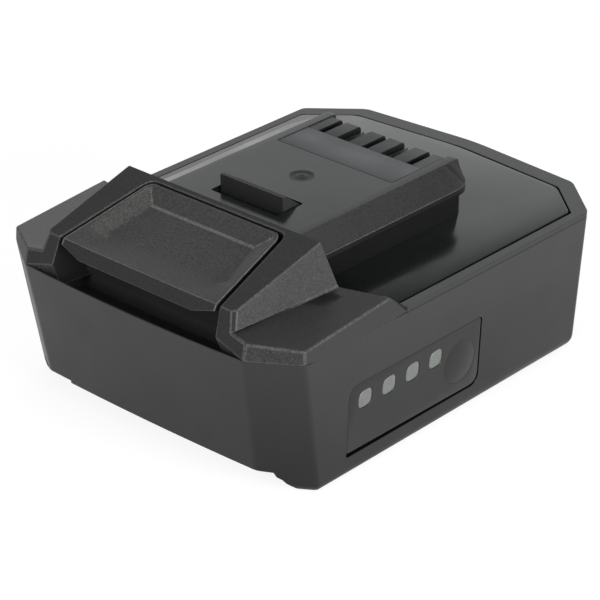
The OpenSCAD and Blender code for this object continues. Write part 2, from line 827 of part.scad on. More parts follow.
// Helical spring: rings of points round a helix, joined into one tube
spring_low = pocket_floor + wire_d / 2;
spring_high = carrier_z - wire_d / 2;
coil_r = spring_d / 2 - wire_d / 2;
ring_count = spring_turns * 12;
ring_sides = 6;
function coil_point(i) =
  let (t = i / ring_count, a = 360 * spring_turns * t)
  [coil_r * cos(a), coil_r * sin(a), spring_low + (spring_high - spring_low) * t];
function coil_ring(i) =
  let (a = 360 * spring_turns * i / ring_count, c = coil_point(i))
  [for (k = [0:ring_sides - 1]) let (b = 360 * k / ring_sides)
    c + wire_d / 2 * [cos(b) * cos(a), cos(b) * sin(a), sin(b)]];
coil_gap = norm(coil_point(12) - coil_point(0)) - wire_d;
echo(latch_spring_gap = coil_gap);

module spring(x) {
  points = [for (i = [0:ring_count]) each coil_ring(i)];
  last = ring_count * ring_sides;
  sides = [for (i = [0:ring_count - 1]) for (k = [0:ring_sides - 1])
    let (a = i * ring_sides + k, b = i * ring_sides + (k + 1) % ring_sides)
    each [[a, b, b + ring_sides], [a, b + ring_sides, a + ring_sides]]];
  ends = [for (k = [1:ring_sides - 2]) each [[0, k + 1, k], [last, last + k, last + k + 1]]];
  color([0.6, 0.61, 0.63]) translate([x, spring_y, 0])
    polyhedron(points = points, faces = concat(sides, ends));
}

module latch_spring_left() {
  spring(-spring_x);
}

module latch_spring_right() {
  spring(spring_x);
}

// Cells, with their positive ends turned one way and the other in turn
module cell(i) {
  s = i % 2 == 0 ? 1 : -1;
  color([0.2, 0.42, 0.55]) translate([0, cell_y(i), axis_z]) rotate([0, 90 * s, 0]) {
    translate([0, 0, -cell_l / 2]) cylinder(d = cell_d, h = cell_l - cap_h);
    translate([0, 0, -cell_l / 2]) cylinder(d = cap_d, h = cell_l);
  }
}

module cell_holder() {
  y0 = cell_y(0) - cell_d / 2 + holder_end;
  y1 = cell_y(cells - 1) + cell_d / 2 - holder_end;
  difference() {
    union() {
      block([strip_x - holder_l, y0, floor_z], [strip_x, y1, holder_top]);
      for (i = [1, cells - 2]) translate([strip_x - holder_l / 2, cell_y(i), holder_top - overlap])
        cylinder(d = peg_d, h = board_gap + overlap);
    }
    for (i = [0:cells - 1]) translate([0, cell_y(i), axis_z]) rotate([0, 90, 0])
      cylinder(d = cell_d + fit, h = far);
  }
}

module cell_holder_left() {
  color([0.75, 0.73, 0.66]) mirror([1, 0, 0]) cell_holder();
}

module cell_holder_right() {
  color([0.75, 0.73, 0.66]) cell_holder();
}

// Nickel strip over the ends of cells a to b, with a tail up to the board's edge
module strip(side, a, b) {
  color([0.7, 0.7, 0.68]) scale_x(side) {
    block([strip_x, cell_y(a) - strip_over, axis_z - strip_h / 2],
          [insulator_x, cell_y(b) + strip_over, axis_z + strip_h / 2]);
    block([strip_x, cell_y(b) - tail_w / 2, axis_z], [insulator_x, cell_y(b) + tail_w / 2, board_top]);
  }
}

module scale_x(side) {
  if (side > 0) children();
  else mirror([1, 0, 0]) children();
}

module link_strip(i) {
  strip(i % 2 == 0 ? 1 : -1, i, i + 1);
}

module negative_tab() {
  strip(-1, 0, 0);
}

module positive_tab() {
  strip(cells % 2 == 0 ? -1 : 1, cells - 1, cells - 1);
}

module insulator() {
  y0 = cell_y(0) - cell_d / 2 + holder_end;
  y1 = cell_y(cells - 1) + cell_d / 2 - holder_end;
  block([insulator_x, y0, floor_z + slip], [insulator_out, y1, holder_top]);
}

module insulator_left() {
  color([0.85, 0.83, 0.75]) mirror([1, 0, 0]) insulator();
}

module insulator_right() {
  color([0.85, 0.83, 0.75]) insulator();
}

// Bead in the valley between two cells, with its two leads
sensor_rise = sqrt(pow((cell_d + sensor_d) / 2 + fit, 2) - pow(cell_pitch / 2, 2));
module temperature_sensor() {
  z = axis_z + sensor_rise;
  y = (cell_y(2) + cell_y(3)) / 2;
  color([0.15, 0.15, 0.16]) {
    translate([-sensor_l / 2, y, z]) rotate([0, 90, 0]) cylinder(d = sensor_d, h = sensor_l);
    both_sides() translate([sensor_l / 6, y, z]) cylinder(d = lead_d, h = board_z - z);
  }
}

// Main board and the parts on it
module circuit_board() {
  color([0.06, 0.28, 0.16]) block([-board_half, board_y0, board_z], [board_half, board_y1, board_top]);
}

module chip(x, y, size) {
  translate([x - size[0] / 2, y - size[1] / 2, board_top]) cube(size);
}

module power_transistors() {
  x = (term_w / 2 + board_half) / 2;
  step = transistor_w + transistor_gap;
  size = [transistor_l, transistor_w, part_h];
  color([0.1, 0.1, 0.11]) both_sides() for (i = [0, 1])
    chip(x, term_y + transistor_w / 2 + i * step, size);
}

chip_y = term_y - chip_gap - chip_side / 2;
module controller_chip() {
  color([0.1, 0.1, 0.11]) chip(0, chip_y, [chip_side, chip_side, part_h / 2]);
}

module board_capacitors() {
  size = [capacitor_w, capacitor_l, part_h / 1.5];
  color([0.62, 0.55, 0.45]) both_sides() for (i = [2, 4]) for (j = [-0.75, 0.75])
    chip(chip_side / 2 + i * capacitor_w, chip_y + j * capacitor_l, size);
}

// Gauge
module gauge_panel() {
  pin_z = panel_z + panel_pin_in;
  pin_l = half_w(pin_z) - wall - gauge_face_x;
  color([0.12, 0.12, 0.125]) difference() {
    union() {
      on_side_wall(wall) linear_extrude(wall - fit) panel_plan(0);
      on_side_wall(wall + key_flange_t) linear_extrude(key_flange_t - fit) panel_back();
      on_side_wall(wall + overlap) linear_extrude(2 * overlap) panel_plan(0);
      for (y = [panel_y0 + panel_pin_in, panel_y1 - panel_pin_r])
        translate([gauge_face_x + fit, y, pin_z]) rotate([0, 90, 0]) cylinder(r = panel_pin_r, h = pin_l);
    }
    for (i = [0:windows - 1]) on_side_wall(2 * wall) linear_extrude(far) window_plan(i, fit);
    on_side_wall(2 * wall) linear_extrude(far) translate([key_y, key_z]) circle(d = key_d + 2 * slip);
    on_side_wall(2 * wall) linear_extrude(wall) translate([key_y, key_z]) circle(r = key_flange_r + slip);
  }
}

// Border that holds the panel behind the wall, just clear of the floor
module panel_back() {
  low = floor_z + fit;
  high = panel_z + panel_h + panel_border;
  rounded_plan(panel_y0 - panel_border, low, panel_y1 + panel_border, high, panel_r);
}

module window_plan(i, grow) {
  y = window_y + i * window_pitch;
  rounded_plan(y - window_l / 2 - grow, window_z - window_h / 2 - grow,
               y + window_l / 2 + grow, window_z + window_h / 2 + grow, window_r);
}

// Four windows on one light guide behind the panel
module gauge_windows() {
  guide_depth = wall + key_flange_t + fit + guide_t;
  guide_l = (windows - 1) * window_pitch + window_l;
  color([0.78, 0.8, 0.77]) {
    for (i = [0:windows - 1]) on_side_wall(guide_depth)
      linear_extrude(guide_depth - 2 * fit) window_plan(i, 0);
    on_side_wall(guide_depth) linear_extrude(guide_t)
      translate([window_y - window_l / 2, window_z - window_h / 2]) square([guide_l, window_h]);
  }
}

// Push button with a dished face and a flange behind the panel
module gauge_button() {
  depth = wall + slip + key_flange_t;
  dish_r = (pow(key_d / 2, 2) + pow(key_dish, 2)) / (2 * key_dish);
  color([0.12, 0.12, 0.125]) on_side_wall(depth) translate([key_y, key_z, 0]) difference() {
    union() {
      cylinder(d = key_d, h = depth - fit);
      cylinder(r = key_flange_r, h = key_flange_t);
    }
    translate([0, 0, depth - fit + dish_r - key_dish]) sphere(dish_r, $fn = 96);
  }
}

module gauge_board() {
  edge = panel_gap + fit;
  color([0.06, 0.28, 0.16])
    block([gauge_board_x, panel_y0 + edge, panel_z + edge],
          [gauge_face_x, panel_y1, panel_z + panel_h - edge]);
}

module gauge_leds() {
  color([0.9, 0.9, 0.82]) for (i = [0:windows - 1])
    translate([gauge_face_x, window_y + i * window_pitch - led_l / 2, window_z - led_h / 2])
      cube([led_t, led_l, led_h]);
}

module gauge_switch() {
  color([0.7, 0.7, 0.68]) translate([gauge_face_x, key_y, key_z]) rotate([0, 90, 0])
    cylinder(d = switch_d, h = switch_t);
}

// Flat cable from the back of the gauge board over the edge of the main board
module gauge_ribbon() {
  lap_x = board_half - ribbon_lap;
  color([0.72, 0.48, 0.2]) translate([0, panel_mid_y + ribbon_w / 2, 0]) rotate([90, 0, 0])
    linear_extrude(ribbon_w) polygon([
      [ribbon_x, panel_mid_z], [gauge_board_x, panel_mid_z], [gauge_board_x, board_top + ribbon_t],
      [lap_x, board_top + ribbon_t], [lap_x, board_top], [ribbon_x, board_top]
    ]);
}

lower_housing();
upper_housing();
housing_screws();
terminal_block();
release_button();
latch_hook();
latch_screws();
latch_spring_left();
latch_spring_right();
cell(0);  // cell_1
cell(1);  // cell_2
cell(2);  // cell_3
cell(3);  // cell_4
cell(4);  // cell_5
cell_holder_left();
cell_holder_right();
link_strip(0);  // link_strip_1
link_strip(1);  // link_strip_2
link_strip(2);  // link_strip_3
link_strip(3);  // link_strip_4
negative_tab();
positive_tab();
insulator_left();
insulator_right();
temperature_sensor();
circuit_board();
power_transistors();
controller_chip();
board_capacitors();
positive_contact();
negative_contact();
signal_contacts();
gauge_panel();
gauge_windows();
gauge_button();
gauge_board();
gauge_leds();
gauge_switch();
gauge_ribbon();
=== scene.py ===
import math
import bmesh
import bpy
import numpy as np
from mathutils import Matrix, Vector


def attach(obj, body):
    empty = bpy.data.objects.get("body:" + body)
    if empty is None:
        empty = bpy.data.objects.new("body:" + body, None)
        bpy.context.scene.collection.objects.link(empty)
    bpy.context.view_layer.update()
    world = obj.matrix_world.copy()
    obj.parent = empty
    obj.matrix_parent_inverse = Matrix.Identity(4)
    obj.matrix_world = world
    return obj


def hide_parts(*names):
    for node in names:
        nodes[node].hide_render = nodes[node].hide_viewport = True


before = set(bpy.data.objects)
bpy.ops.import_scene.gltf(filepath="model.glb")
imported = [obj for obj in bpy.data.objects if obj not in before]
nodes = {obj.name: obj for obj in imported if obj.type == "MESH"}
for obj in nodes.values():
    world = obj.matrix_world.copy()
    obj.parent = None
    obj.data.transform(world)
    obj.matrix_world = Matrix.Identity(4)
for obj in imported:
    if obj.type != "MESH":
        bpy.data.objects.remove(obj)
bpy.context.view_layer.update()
mm = 0.001
scene = bpy.context.scene
scene.view_settings.view_transform = "Standard"
print("frame loaded with", len(nodes), "nodes")


# camera: stands at the front right of the pack, a little above it
camera = {
    "place": (346.35, -383.22, 282.69), "target": (2.127, -5.843, 16.681),
    "lens": 160.46, "sensor": 36.0, "nearest": 10.0,
}


def aimed(place, target):
    # the turn that points an object's -Z axis from its place to the target
    return (Vector(target) - Vector(place)).to_track_quat("-Z", "Y").to_euler()


eye = bpy.data.objects.new("camera", bpy.data.cameras.new("camera"))
scene.collection.objects.link(eye)
eye.location = Vector(camera["place"]) * mm
eye.rotation_euler = aimed(camera["place"], camera["target"])
eye.data.lens = camera["lens"]
eye.data.sensor_width = camera["sensor"]
eye.data.clip_start = camera["nearest"] * mm
scene.camera = eye


# studio: white room that is dimmer overhead, pale floor and three soft boxes
studio = {
    "fill": 0.25, "overhead": 0.15,
    "whiteUpTo": 0.46, "dimFrom": 0.64,  # heights of the ray's direction, 0 to 1
    "floorSize": 6.0, "floorGlow": 0.85, "floorTone": (0.3, 0.3, 0.3), "floorRoughness": 0.9,
    "roomMirrored": 0.9, "floorMirrored": 0.8,
}
softBoxes = {
    "top": {"place": (-60, 120, 560), "aim": (0, 0, 30), "size": (420, 420), "power": 0.5},
    "right": {"place": (700, -40, 180), "aim": (0, 0, 20), "size": (420, 300), "power": 4.1},
    "front": {"place": (120, -600, 300), "aim": (0, 0, 20), "size": (420, 300), "power": 1.5},
}


def feed(tree, node, values):
    # links a node's inputs to other nodes' outputs, or gives them a number or a colour of three parts
    for socket, value in values.items():
        if isinstance(value, bpy.types.NodeSocket):
            tree.links.new(value, node.inputs[socket])
        else:
            node.inputs[socket].default_value = (*value, 1) if isinstance(value, tuple) else value


def combine(tree, operation, first, second):
    node = tree.nodes.new("ShaderNodeMath")
    node.operation = operation
    feed(tree, node, {0: first, 1: second})
    return node.outputs[0]


def heightOf(tree, where):
    split = tree.nodes.new("ShaderNodeSeparateXYZ")
    feed(tree, split, {0: where})
    return split.outputs["Z"]


def seenDirectly(tree, mirrorShare):
    # 1 for camera and transmission rays, mirrorShare for glossy rays, 0 for the rays that carry soft light
    path = tree.nodes.new("ShaderNodeLightPath")
    mirror = combine(tree, "MULTIPLY", path.outputs["Is Glossy Ray"], mirrorShare)
    first = combine(tree, "MAXIMUM", path.outputs["Is Camera Ray"], mirror)
    return combine(tree, "MAXIMUM", first, path.outputs["Is Transmission Ray"])


def spread(tree, value, low, high, start=0.3, end=0.7):
    # takes a value's range from start to end to the numbers low to high
    out = tree.nodes.new("ShaderNodeMapRange")
    feed(tree, out, {"Value": value, "From Min": start, "From Max": end, "To Min": low, "To Max": high})
    return out.outputs["Result"]


def makeStudio():
    world = bpy.data.worlds.new("studio")
    scene.world = world
    world.use_nodes = True
    tree = world.node_tree
    upward = heightOf(tree, tree.nodes.new("ShaderNodeTexCoord").outputs["Generated"])
    room = spread(tree, upward, 1.0, studio["overhead"], studio["whiteUpTo"], studio["dimFrom"])
    level = tree.nodes.new("ShaderNodeMix")
    feed(tree, level, {"A": studio["fill"], "B": room, "Factor": seenDirectly(tree, studio["roomMirrored"])})
    feed(tree, tree.nodes["Background"], {"Color": (1, 1, 1), "Strength": level.outputs["Result"]})
    for name, box in softBoxes.items():
        lamp = bpy.data.lights.new(name + "Box", "AREA")
        lamp.shape = "RECTANGLE"
        lamp.size, lamp.size_y = (side * mm for side in box["size"])
        lamp.energy = box["power"]
        holder = bpy.data.objects.new(name + "Box", lamp)
        holder.location = Vector(box["place"]) * mm
        holder.rotation_euler = aimed(box["place"], box["aim"])
        scene.collection.objects.link(holder)


def makeFloor():
    half = studio["floorSize"] / 2
    mesh = bpy.data.meshes.new("floor")
    corners = [(-half, -half, 0), (half, -half, 0), (half, half, 0), (-half, half, 0)]
    mesh.from_pydata(corners, [], [(0, 1, 2, 3)])
    floor = bpy.data.objects.new("floor", mesh)
    scene.collection.objects.link(floor)
    paper = bpy.data.materials.new("paleFloor")
    paper.use_nodes = True
    tree = paper.node_tree
    glow = combine(tree, "MULTIPLY", seenDirectly(tree, studio["floorMirrored"]), studio["floorGlow"])
    feed(tree, tree.nodes["Principled BSDF"], {
        "Base Color": studio["floorTone"], "Roughness": studio["floorRoughness"], "Specular IOR Level": 0.0,
        "Emission Color": (1, 1, 1), "Emission Strength": glow,
    })
    mesh.materials.append(paper)


makeStudio()
makeFloor()
print("studio ready")


# finishes; lengths are in millimetres, a detail is the noise's octaves and their roughness
moulding = {
    "fineDetail": (2.0, 0.6), "cloud": 14.0, "cloudDetail": (3.0, 0.55), "roughnessSpread": (-0.05, 0.06),
    "footReach": 30.0,  # height over which a piece with a foot tone gets darker, a painted shade towards the floor
}
metalwork = {"detail": (4.0, 0.6), "roughnessSpread": (-0.08, 0.12)}


def grey(level):
    return (level, level, level)


def startFinish(name, roughness, shine=0.5, tint=(1, 1, 1)):
    finish = bpy.data.materials.new(name)
    finish.use_nodes = True
    tree = finish.node_tree
    shader = tree.nodes["Principled BSDF"]
    feed(tree, shader, {"Roughness": roughness, "Specular IOR Level": shine, "Specular Tint": tint})
    coords = tree.nodes.new("ShaderNodeTexCoord")
    return finish, tree, shader, coords.outputs["Object"]


def noiseOf(tree, where, size, detail, rough):
    # cloud noise whose blobs measure about size millimetres
    noise = tree.nodes.new("ShaderNodeTexNoise")
    feed(tree, noise, {"Vector": where, "Scale": 1 / (size * mm), "Detail": detail, "Roughness": rough})
    return noise.outputs["Fac"]


def mixTones(tree, share, dark, light):
    # each tone is a colour or another node's output
    mix = tree.nodes.new("ShaderNodeMix")
    mix.data_type = "RGBA"
    feed(tree, mix, {"Factor": share, "A": dark, "B": light})
    return mix.outputs["Result"]


def bumpFrom(tree, height, depth):
    # depth is the relief in millimetres
    bump = tree.nodes.new("ShaderNodeBump")
    feed(tree, bump, {"Height": height, "Strength": 1.0, "Distance": depth * mm})
    return bump.outputs["Normal"]


def moulded(name, dark, light, roughness, grain, relief, shine=0.5, tint=(1, 1, 1), foot=None):
    # moulded plastic: fine grain for the tool's etched face, broad clouds for handling and flow; foot is the
    # tone at the bottom of a piece, a painted shade that darkens it towards the floor
    finish, tree, shader, where = startFinish(name, roughness, shine, tint)
    fine = noiseOf(tree, where, grain, *moulding["fineDetail"])
    broad = noiseOf(tree, where, moulding["cloud"], *moulding["cloudDetail"])
    tone = mixTones(tree, spread(tree, fine, 0, 1), dark, light)
    # painted shade: the tone falls to the foot tone near the floor
    if foot is not None:
        rise = spread(tree, heightOf(tree, where), 0, 1, 0.0, moulding["footReach"] * mm)
        tone = mixTones(tree, rise, foot, tone)
    smooth, rough = (roughness + change for change in moulding["roughnessSpread"])
    feed(tree, shader, {"Base Color": tone, "Roughness": spread(tree, broad, smooth, rough),
                        "Normal": bumpFrom(tree, fine, relief)})
    return finish


def metallic(name, dark, light, roughness, grain, relief):
    finish, tree, shader, where = startFinish(name, roughness)
    cloud = noiseOf(tree, where, grain, *metalwork["detail"])
    tone = mixTones(tree, spread(tree, cloud, 0, 1), dark, light)
    smooth, rough = (roughness + change for change in metalwork["roughnessSpread"])
    feed(tree, shader, {"Metallic": 1.0, "Base Color": tone, "Roughness": spread(tree, cloud, smooth, rough),
                        "Normal": bumpFrom(tree, cloud, relief)})
    return finish


# each: dark tone, light tone, roughness, grain, relief, then shine and tint where they are not plain
finishes = {
    # the tub's foot tone is a painted shade towards the floor
    "tub": moulded("tubPlastic", grey(0.022), grey(0.029), 0.38, 0.35, 0.005, 0.42, foot=grey(0.002)),
    "cover": moulded("coverPlastic", grey(0.005), (0.024, 0.024, 0.023), 0.42, 0.46, 0.06, 0.45),
    # painted light: a lighter copy of the cover for the arms' sides and cut front corners, turned to the
    # right lamp
    "paintedLightSide": moulded("paintedLightPlastic", grey(0.012), (0.053, 0.053, 0.052), 0.5, 0.42, 0.06, 0.35),
    # painted shade: a darker copy of the cover for faces to the front
    "shade": moulded("shadedPlastic", grey(0.006), (0.020, 0.020, 0.0195), 0.46, 0.46, 0.06, 0.33),
    # painted sheen: a lighter, smoother copy of the cover for the rail's sloped sides and the left shoulder's
    # top
    "slope": moulded("slopeSheenPlastic", grey(0.019), (0.042, 0.042, 0.041), 0.28, 0.46, 0.02, 0.52),
    "shoulder": moulded("shoulderPlastic", grey(0.009), (0.026, 0.026, 0.025), 0.4, 0.46, 0.02, 0.52),
    "plate": moulded("platePlastic", (0.011, 0.0125, 0.012), (0.016, 0.018, 0.0175), 0.17, 0.6, 0.002, 0.43,
                     (0.93, 1.0, 0.98)),
    # painted shade: a darker copy for the neck under the rail's lip and the strip beside the arm's end
    "neck": moulded("neckShadePlastic", grey(0.005), grey(0.008), 0.3, 0.6, 0.003, 0.28),
    # painted shade: a darker copy for the lip's side and the rail slopes that turn to the back
    "lip": moulded("lipShadePlastic", grey(0.010), grey(0.014), 0.42, 0.5, 0.006, 0.3),
    # edge rounds: edge wear with a painted highlight, lighter than the cover
    "edge": moulded("wornHighlightEdge", (0.030, 0.030, 0.029), (0.110, 0.108, 0.104), 0.55, 0.45, 0.06, 0.4),
    # painted highlights: bright lines and corners in the button's dish
    "shine": moulded("paintedHighlightEdge", (0.08, 0.08, 0.078), (0.20, 0.198, 0.19), 0.4, 0.45, 0.02, 0.5),
    "button": moulded("buttonPlastic", (0.028, 0.029, 0.0285), (0.073, 0.074, 0.073), 0.5, 0.46, 0.07, 0.4),
    # painted light: a lighter copy for the side walls of the button's dish
    "paintedLightWall": moulded("paintedLightWallPlastic", (0.037, 0.037, 0.036), (0.094, 0.093, 0.091), 0.5, 0.46, 0.07, 0.4),
    # painted light: a lighter copy of the black plastic for the inside of the finger pocket
    "pocket": moulded("pocketLightPlastic", grey(0.038), grey(0.048), 0.6, 0.5, 0.02, 0.2),
    "hook": moulded("hookPlastic", grey(0.024), grey(0.031), 0.45, 0.4, 0.006, 0.3),
    "insert": moulded("insertPlastic", (0.014, 0.017, 0.022), (0.020, 0.024, 0.030), 0.34, 0.5, 0.004, 0.45,
                      (0.94, 0.97, 1.0)),
    "teeth": moulded("teethPlastic", (0.009, 0.011, 0.011), (0.013, 0.016, 0.016), 0.42, 0.5, 0.006, 0.38,
                     (0.93, 1.0, 1.0)),
    # painted shade: a darker copy of the insert for its upright faces, the slot walls
    "slot": moulded("slotShadePlastic", (0.006, 0.006, 0.007), (0.010, 0.010, 0.011), 0.5, 0.5, 0.004, 0.25),
    "gauge": moulded("gaugePlastic", grey(0.008), grey(0.013), 0.38, 0.35, 0.005, 0.42),
    "window": moulded("windowPlastic", (0.165, 0.177, 0.165), (0.20, 0.213, 0.20), 0.4, 0.7, 0.004),
    "steel": metallic("screwSteel", (0.28, 0.28, 0.29), (0.46, 0.46, 0.47), 0.32, 0.6, 0.006),
    "spring": metallic("springSteel", (0.36, 0.36, 0.37), (0.55, 0.55, 0.55), 0.28, 0.5, 0.004),
    "contact": metallic("contactMetal", grey(0.16), grey(0.26), 0.4, 0.8, 0.004),
    "nickel": metallic("nickelStrip", (0.50, 0.49, 0.46), (0.66, 0.65, 0.61), 0.34, 0.9, 0.005),
    "cell": moulded("cellWrap", (0.030, 0.10, 0.22), (0.040, 0.13, 0.28), 0.32, 1.2, 0.004),
    "holder": moulded("holderPlastic", (0.10, 0.10, 0.11), (0.14, 0.14, 0.15), 0.5, 0.5, 0.01),
    "paper": moulded("insulatingPaper", (0.30, 0.36, 0.30), (0.42, 0.48, 0.41), 0.75, 0.4, 0.015),
    "laminate": moulded("boardLaminate", (0.010, 0.075, 0.034), (0.016, 0.110, 0.050), 0.35, 0.8, 0.004),
    "chip": moulded("chipPlastic", (0.014, 0.014, 0.015), (0.024, 0.024, 0.025), 0.5, 0.3, 0.01),
    "ceramic": moulded("capacitorCeramic", (0.34, 0.25, 0.16), (0.44, 0.33, 0.22), 0.5, 0.3, 0.006),
    "lightChip": moulded("lightChip", (0.62, 0.60, 0.46), (0.76, 0.74, 0.58), 0.3, 0.4, 0.003),
    "ribbon": moulded("ribbonFilm", (0.36, 0.20, 0.05), (0.50, 0.29, 0.08), 0.3, 0.8, 0.003),
    "resin": moulded("sensorResin", (0.03, 0.03, 0.035), (0.05, 0.05, 0.055), 0.3, 0.6, 0.006),
}
print("finishes ready:", len(finishes))


# surfaces
def gridFaces(rows, cols, ring=True):
    # quads between neighbours of a grid numbered row by row; a ring joins the last column to the first
    row, col = np.meshgrid(np.arange(rows - 1), np.arange(cols if ring else cols - 1), indexing="ij")
    after = (col + 1) % cols
    quads = [row * cols + col, row * cols + after, (row + 1) * cols + after, (row + 1) * cols + col]
    return np.stack(quads, -1).reshape(-1, 4).tolist()


def loft(rings):
    # closed loops carried one after another, with a flat cap on the first and on the last
    rings = np.asarray(rings, float)
    rows, cols = rings.shape[:2]
    caps = [list(range(cols))[::-1], list(range((rows - 1) * cols, rows * cols))]
    return rings.reshape(-1, 3), gridFaces(rows, cols) + caps


def roundPath(corners, reach, steps=5, most=0.48):
    # each corner becomes a parabola that leaves its two edges at the given reach, or at most at that share of
    # the edge
    corners = np.asarray(corners, float)
    before = np.roll(corners, 1, 0) - corners
    after = np.roll(corners, -1, 0) - corners
    longBefore = np.linalg.norm(before, axis=1)
    longAfter = np.linalg.norm(after, axis=1)
    reach = np.broadcast_to(reach, longBefore.shape)
    start = corners + before * (np.minimum(reach, most * longBefore) / longBefore)[:, None]
    end = corners + after * (np.minimum(reach, most * longAfter) / longAfter)[:, None]
    s = np.linspace(0, 1, steps + 1)[:, None, None]
    curve = (1 - s) ** 2 * start + 2 * s * (1 - s) * corners + s ** 2 * end
    return curve.transpose(1, 0, 2).reshape(-1, 2)


def drawIn(corners, inset, straight=1e-6):
    # moves each edge of a polygon inwards by its inset; a corner goes where its two moved edges meet, and a
    # point on a straight run goes in by the mean of the two
    corners = np.asarray(corners, float)
    edge = np.roll(corners, -1, 0) - corners
    edge /= np.linalg.norm(edge, axis=1)[:, None]
    normal = np.column_stack([-edge[:, 1], edge[:, 0]])
    last = np.roll(normal, 1, 0)
    inset = np.broadcast_to(inset, len(corners))[:, None]
    before = np.roll(inset, 1, 0)
    turn = (normal * last).sum(1)[:, None]
    bend = 1 - turn ** 2
    meet = ((inset - before * turn) * normal + (before - inset * turn) * last) / np.maximum(bend, straight)
    return corners + np.where(bend > straight, meet, inset * (normal + last) / 2)


def atHeight(loop, z):
    return np.column_stack([loop, np.broadcast_to(z, len(loop))])


def upright(x, y, z):
    return np.stack(np.broadcast_arrays(x, y, z), -1)


def rectangle(x0, x1, y0, y1):
    return np.array([(x0, y0), (x1, y0), (x1, y1), (x0, y1)])


def prism(loop, low, high):
    return loft([atHeight(loop, z) for z in (low, high)])


def carryAcross(section, places):
    # an upright section of (along, height) points carried across the pack
    y, z = np.array(section).T
    return loft([upright(x, y, z) for x in places])


def turned(profile, place, axisOut, steps=48):
    # profile of (radius, height) turned round an axis: axisOut maps plan offsets and height to points
    angle = np.linspace(0, 2 * math.pi, steps, endpoint=False)
    rings = [axisOut(place[0] + r * np.cos(angle), place[1] + r * np.sin(angle), h) for r, h in profile]
    return loft(rings)


def addPiece(name, surface, coats, merge=0.002):
    # millimetre points and faces become a closed object at the origin, with its faces turned outwards
    points, faces = surface
    mesh = bpy.data.meshes.new(name)
    mesh.from_pydata((np.asarray(points) * mm).tolist(), [], faces)
    soup = bmesh.new()
    soup.from_mesh(mesh)
    bmesh.ops.remove_doubles(soup, verts=soup.verts, dist=merge * mm)
    bmesh.ops.dissolve_degenerate(soup, edges=soup.edges, dist=merge * mm)
    bmesh.ops.recalc_face_normals(soup, faces=soup.faces)
    soup.to_mesh(mesh)
    soup.free()
    piece = bpy.data.objects.new(name, mesh)
    scene.collection.objects.link(piece)
    for coat in coats:
        mesh.materials.append(finishes[coat])
    return piece


def carve(piece, cutters):
    # takes the cutters out of the piece and removes them
    for cutter in cutters:
        cut = piece.modifiers.new("cut", "BOOLEAN")
        cut.operation = "DIFFERENCE"
        cut.solver = "EXACT"
        cut.object = cutter
    bpy.context.view_layer.update()
    carved = bpy.data.meshes.new_from_object(piece.evaluated_get(bpy.context.evaluated_depsgraph_get()))
    piece.modifiers.clear()
    piece.data = carved
    for cutter in cutters:
        bpy.data.objects.remove(cutter)


def measureFaces(piece):
    # middle of each face in millimetres and its normal; x and nx are taken without their sign
    count = len(piece.data.polygons)
    middles, normals = np.zeros(count * 3), np.zeros(count * 3)
    piece.data.polygons.foreach_get("center", middles)
    piece.data.polygons.foreach_get("normal", normals)
    across, y, z = middles.reshape(-1, 3).T / mm
    sideways, ny, nz = normals.reshape(-1, 3).T
    return {"across": across, "x": np.abs(across), "y": y, "z": z, "nx": np.abs(sideways), "ny": ny, "nz": nz}


def coatFaces(piece, zones, faces):
    # a face gets the finish of the first zone whose limits it keeps, or else the first finish
    coats = list(piece.data.materials)
    index = np.zeros(len(piece.data.polygons), np.int32)
    for coat, limits in zones[::-1]:
        keeps = [faces[key[:-1]] < limit if key[-1] == "<" else faces[key[:-1]] > limit
                 for key, limit in limits.items()]
        index[np.all(keeps, 0)] = coats.index(finishes[coat])
    piece.data.polygons.foreach_set("material_index", index)


def smoothFaces(piece, angle):
    piece.data.shade_smooth()
    piece.data.set_sharp_from_angle(angle=math.radians(angle))


def easeEdges(piece, width, segments=2, angle=30, wornHighlightSlot=-1, crisp=180):
    # rounds every edge sharper than angle; the round may take the finish in wornHighlightSlot, edge wear with
    # a painted highlight; crisp keeps faces apart
    smoothFaces(piece, crisp)
    ease = piece.modifiers.new("ease", "BEVEL")
    ease.width = width * mm
    ease.segments = segments
    ease.limit_method = "ANGLE"
    ease.angle_limit = math.radians(angle)
    ease.miter_outer = "MITER_ARC"
    ease.harden_normals = True
    ease.material = wornHighlightSlot
    return ease


def weighEdges(piece, lines, sharp, angle=28, near=0.01):
    # share of the round's width: the given one on edges along the lines or their mirror images, sharp on
    # other edges sharper than angle, none elsewhere
    mesh = piece.data
    points = np.zeros(len(mesh.vertices) * 3)
    mesh.vertices.foreach_get("co", points)
    points = points.reshape(-1, 3) / mm
    points[:, 0] = np.abs(points[:, 0])
    ends = np.zeros(len(mesh.edges) * 2, int)
    mesh.edges.foreach_get("vertices", ends)
    mesh.set_sharp_from_angle(angle=math.radians(angle))
    isSharp = np.zeros(len(mesh.edges), bool)
    if "sharp_edge" in mesh.attributes:
        mesh.attributes["sharp_edge"].data.foreach_get("value", isSharp)
        mesh.attributes.remove(mesh.attributes["sharp_edge"])
    share = np.where(isSharp, sharp, 0.0)
    for a, b, amount in lines:
        along = np.clip(((points - a) @ (b - a)) / ((b - a) @ (b - a)), 0, 1)
        on = np.linalg.norm(points - a - along[:, None] * (b - a), axis=1) < near
        share[on[ends].reshape(-1, 2).all(1)] = amount
    weights = mesh.attributes.new("bevel_weight_edge", "FLOAT", "EDGE")
    weights.data.foreach_set("value", share.astype(np.float32))


def dress(piece, body, slot, *stands):
    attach(piece, body)
    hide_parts(*stands)


# housing plan
plan = {
    "halfWidth": 40.7, "widthAt": 13.0, "lean": 0.0447,
    "front": -54.185, "rake": 0.1706, "bow": 1.07, "frontCut": (10.2, 6.7),
    "back": 52.815, "backRake": 0.0419, "peak": 2.44, "backCut": (11.4, 9.7),
    "seam": 32.0, "rim": 33.25, "rimStart": -17.085, "bowSteps": 9,
}
clear = 60.0  # cutters end this far up or back, outside the pack


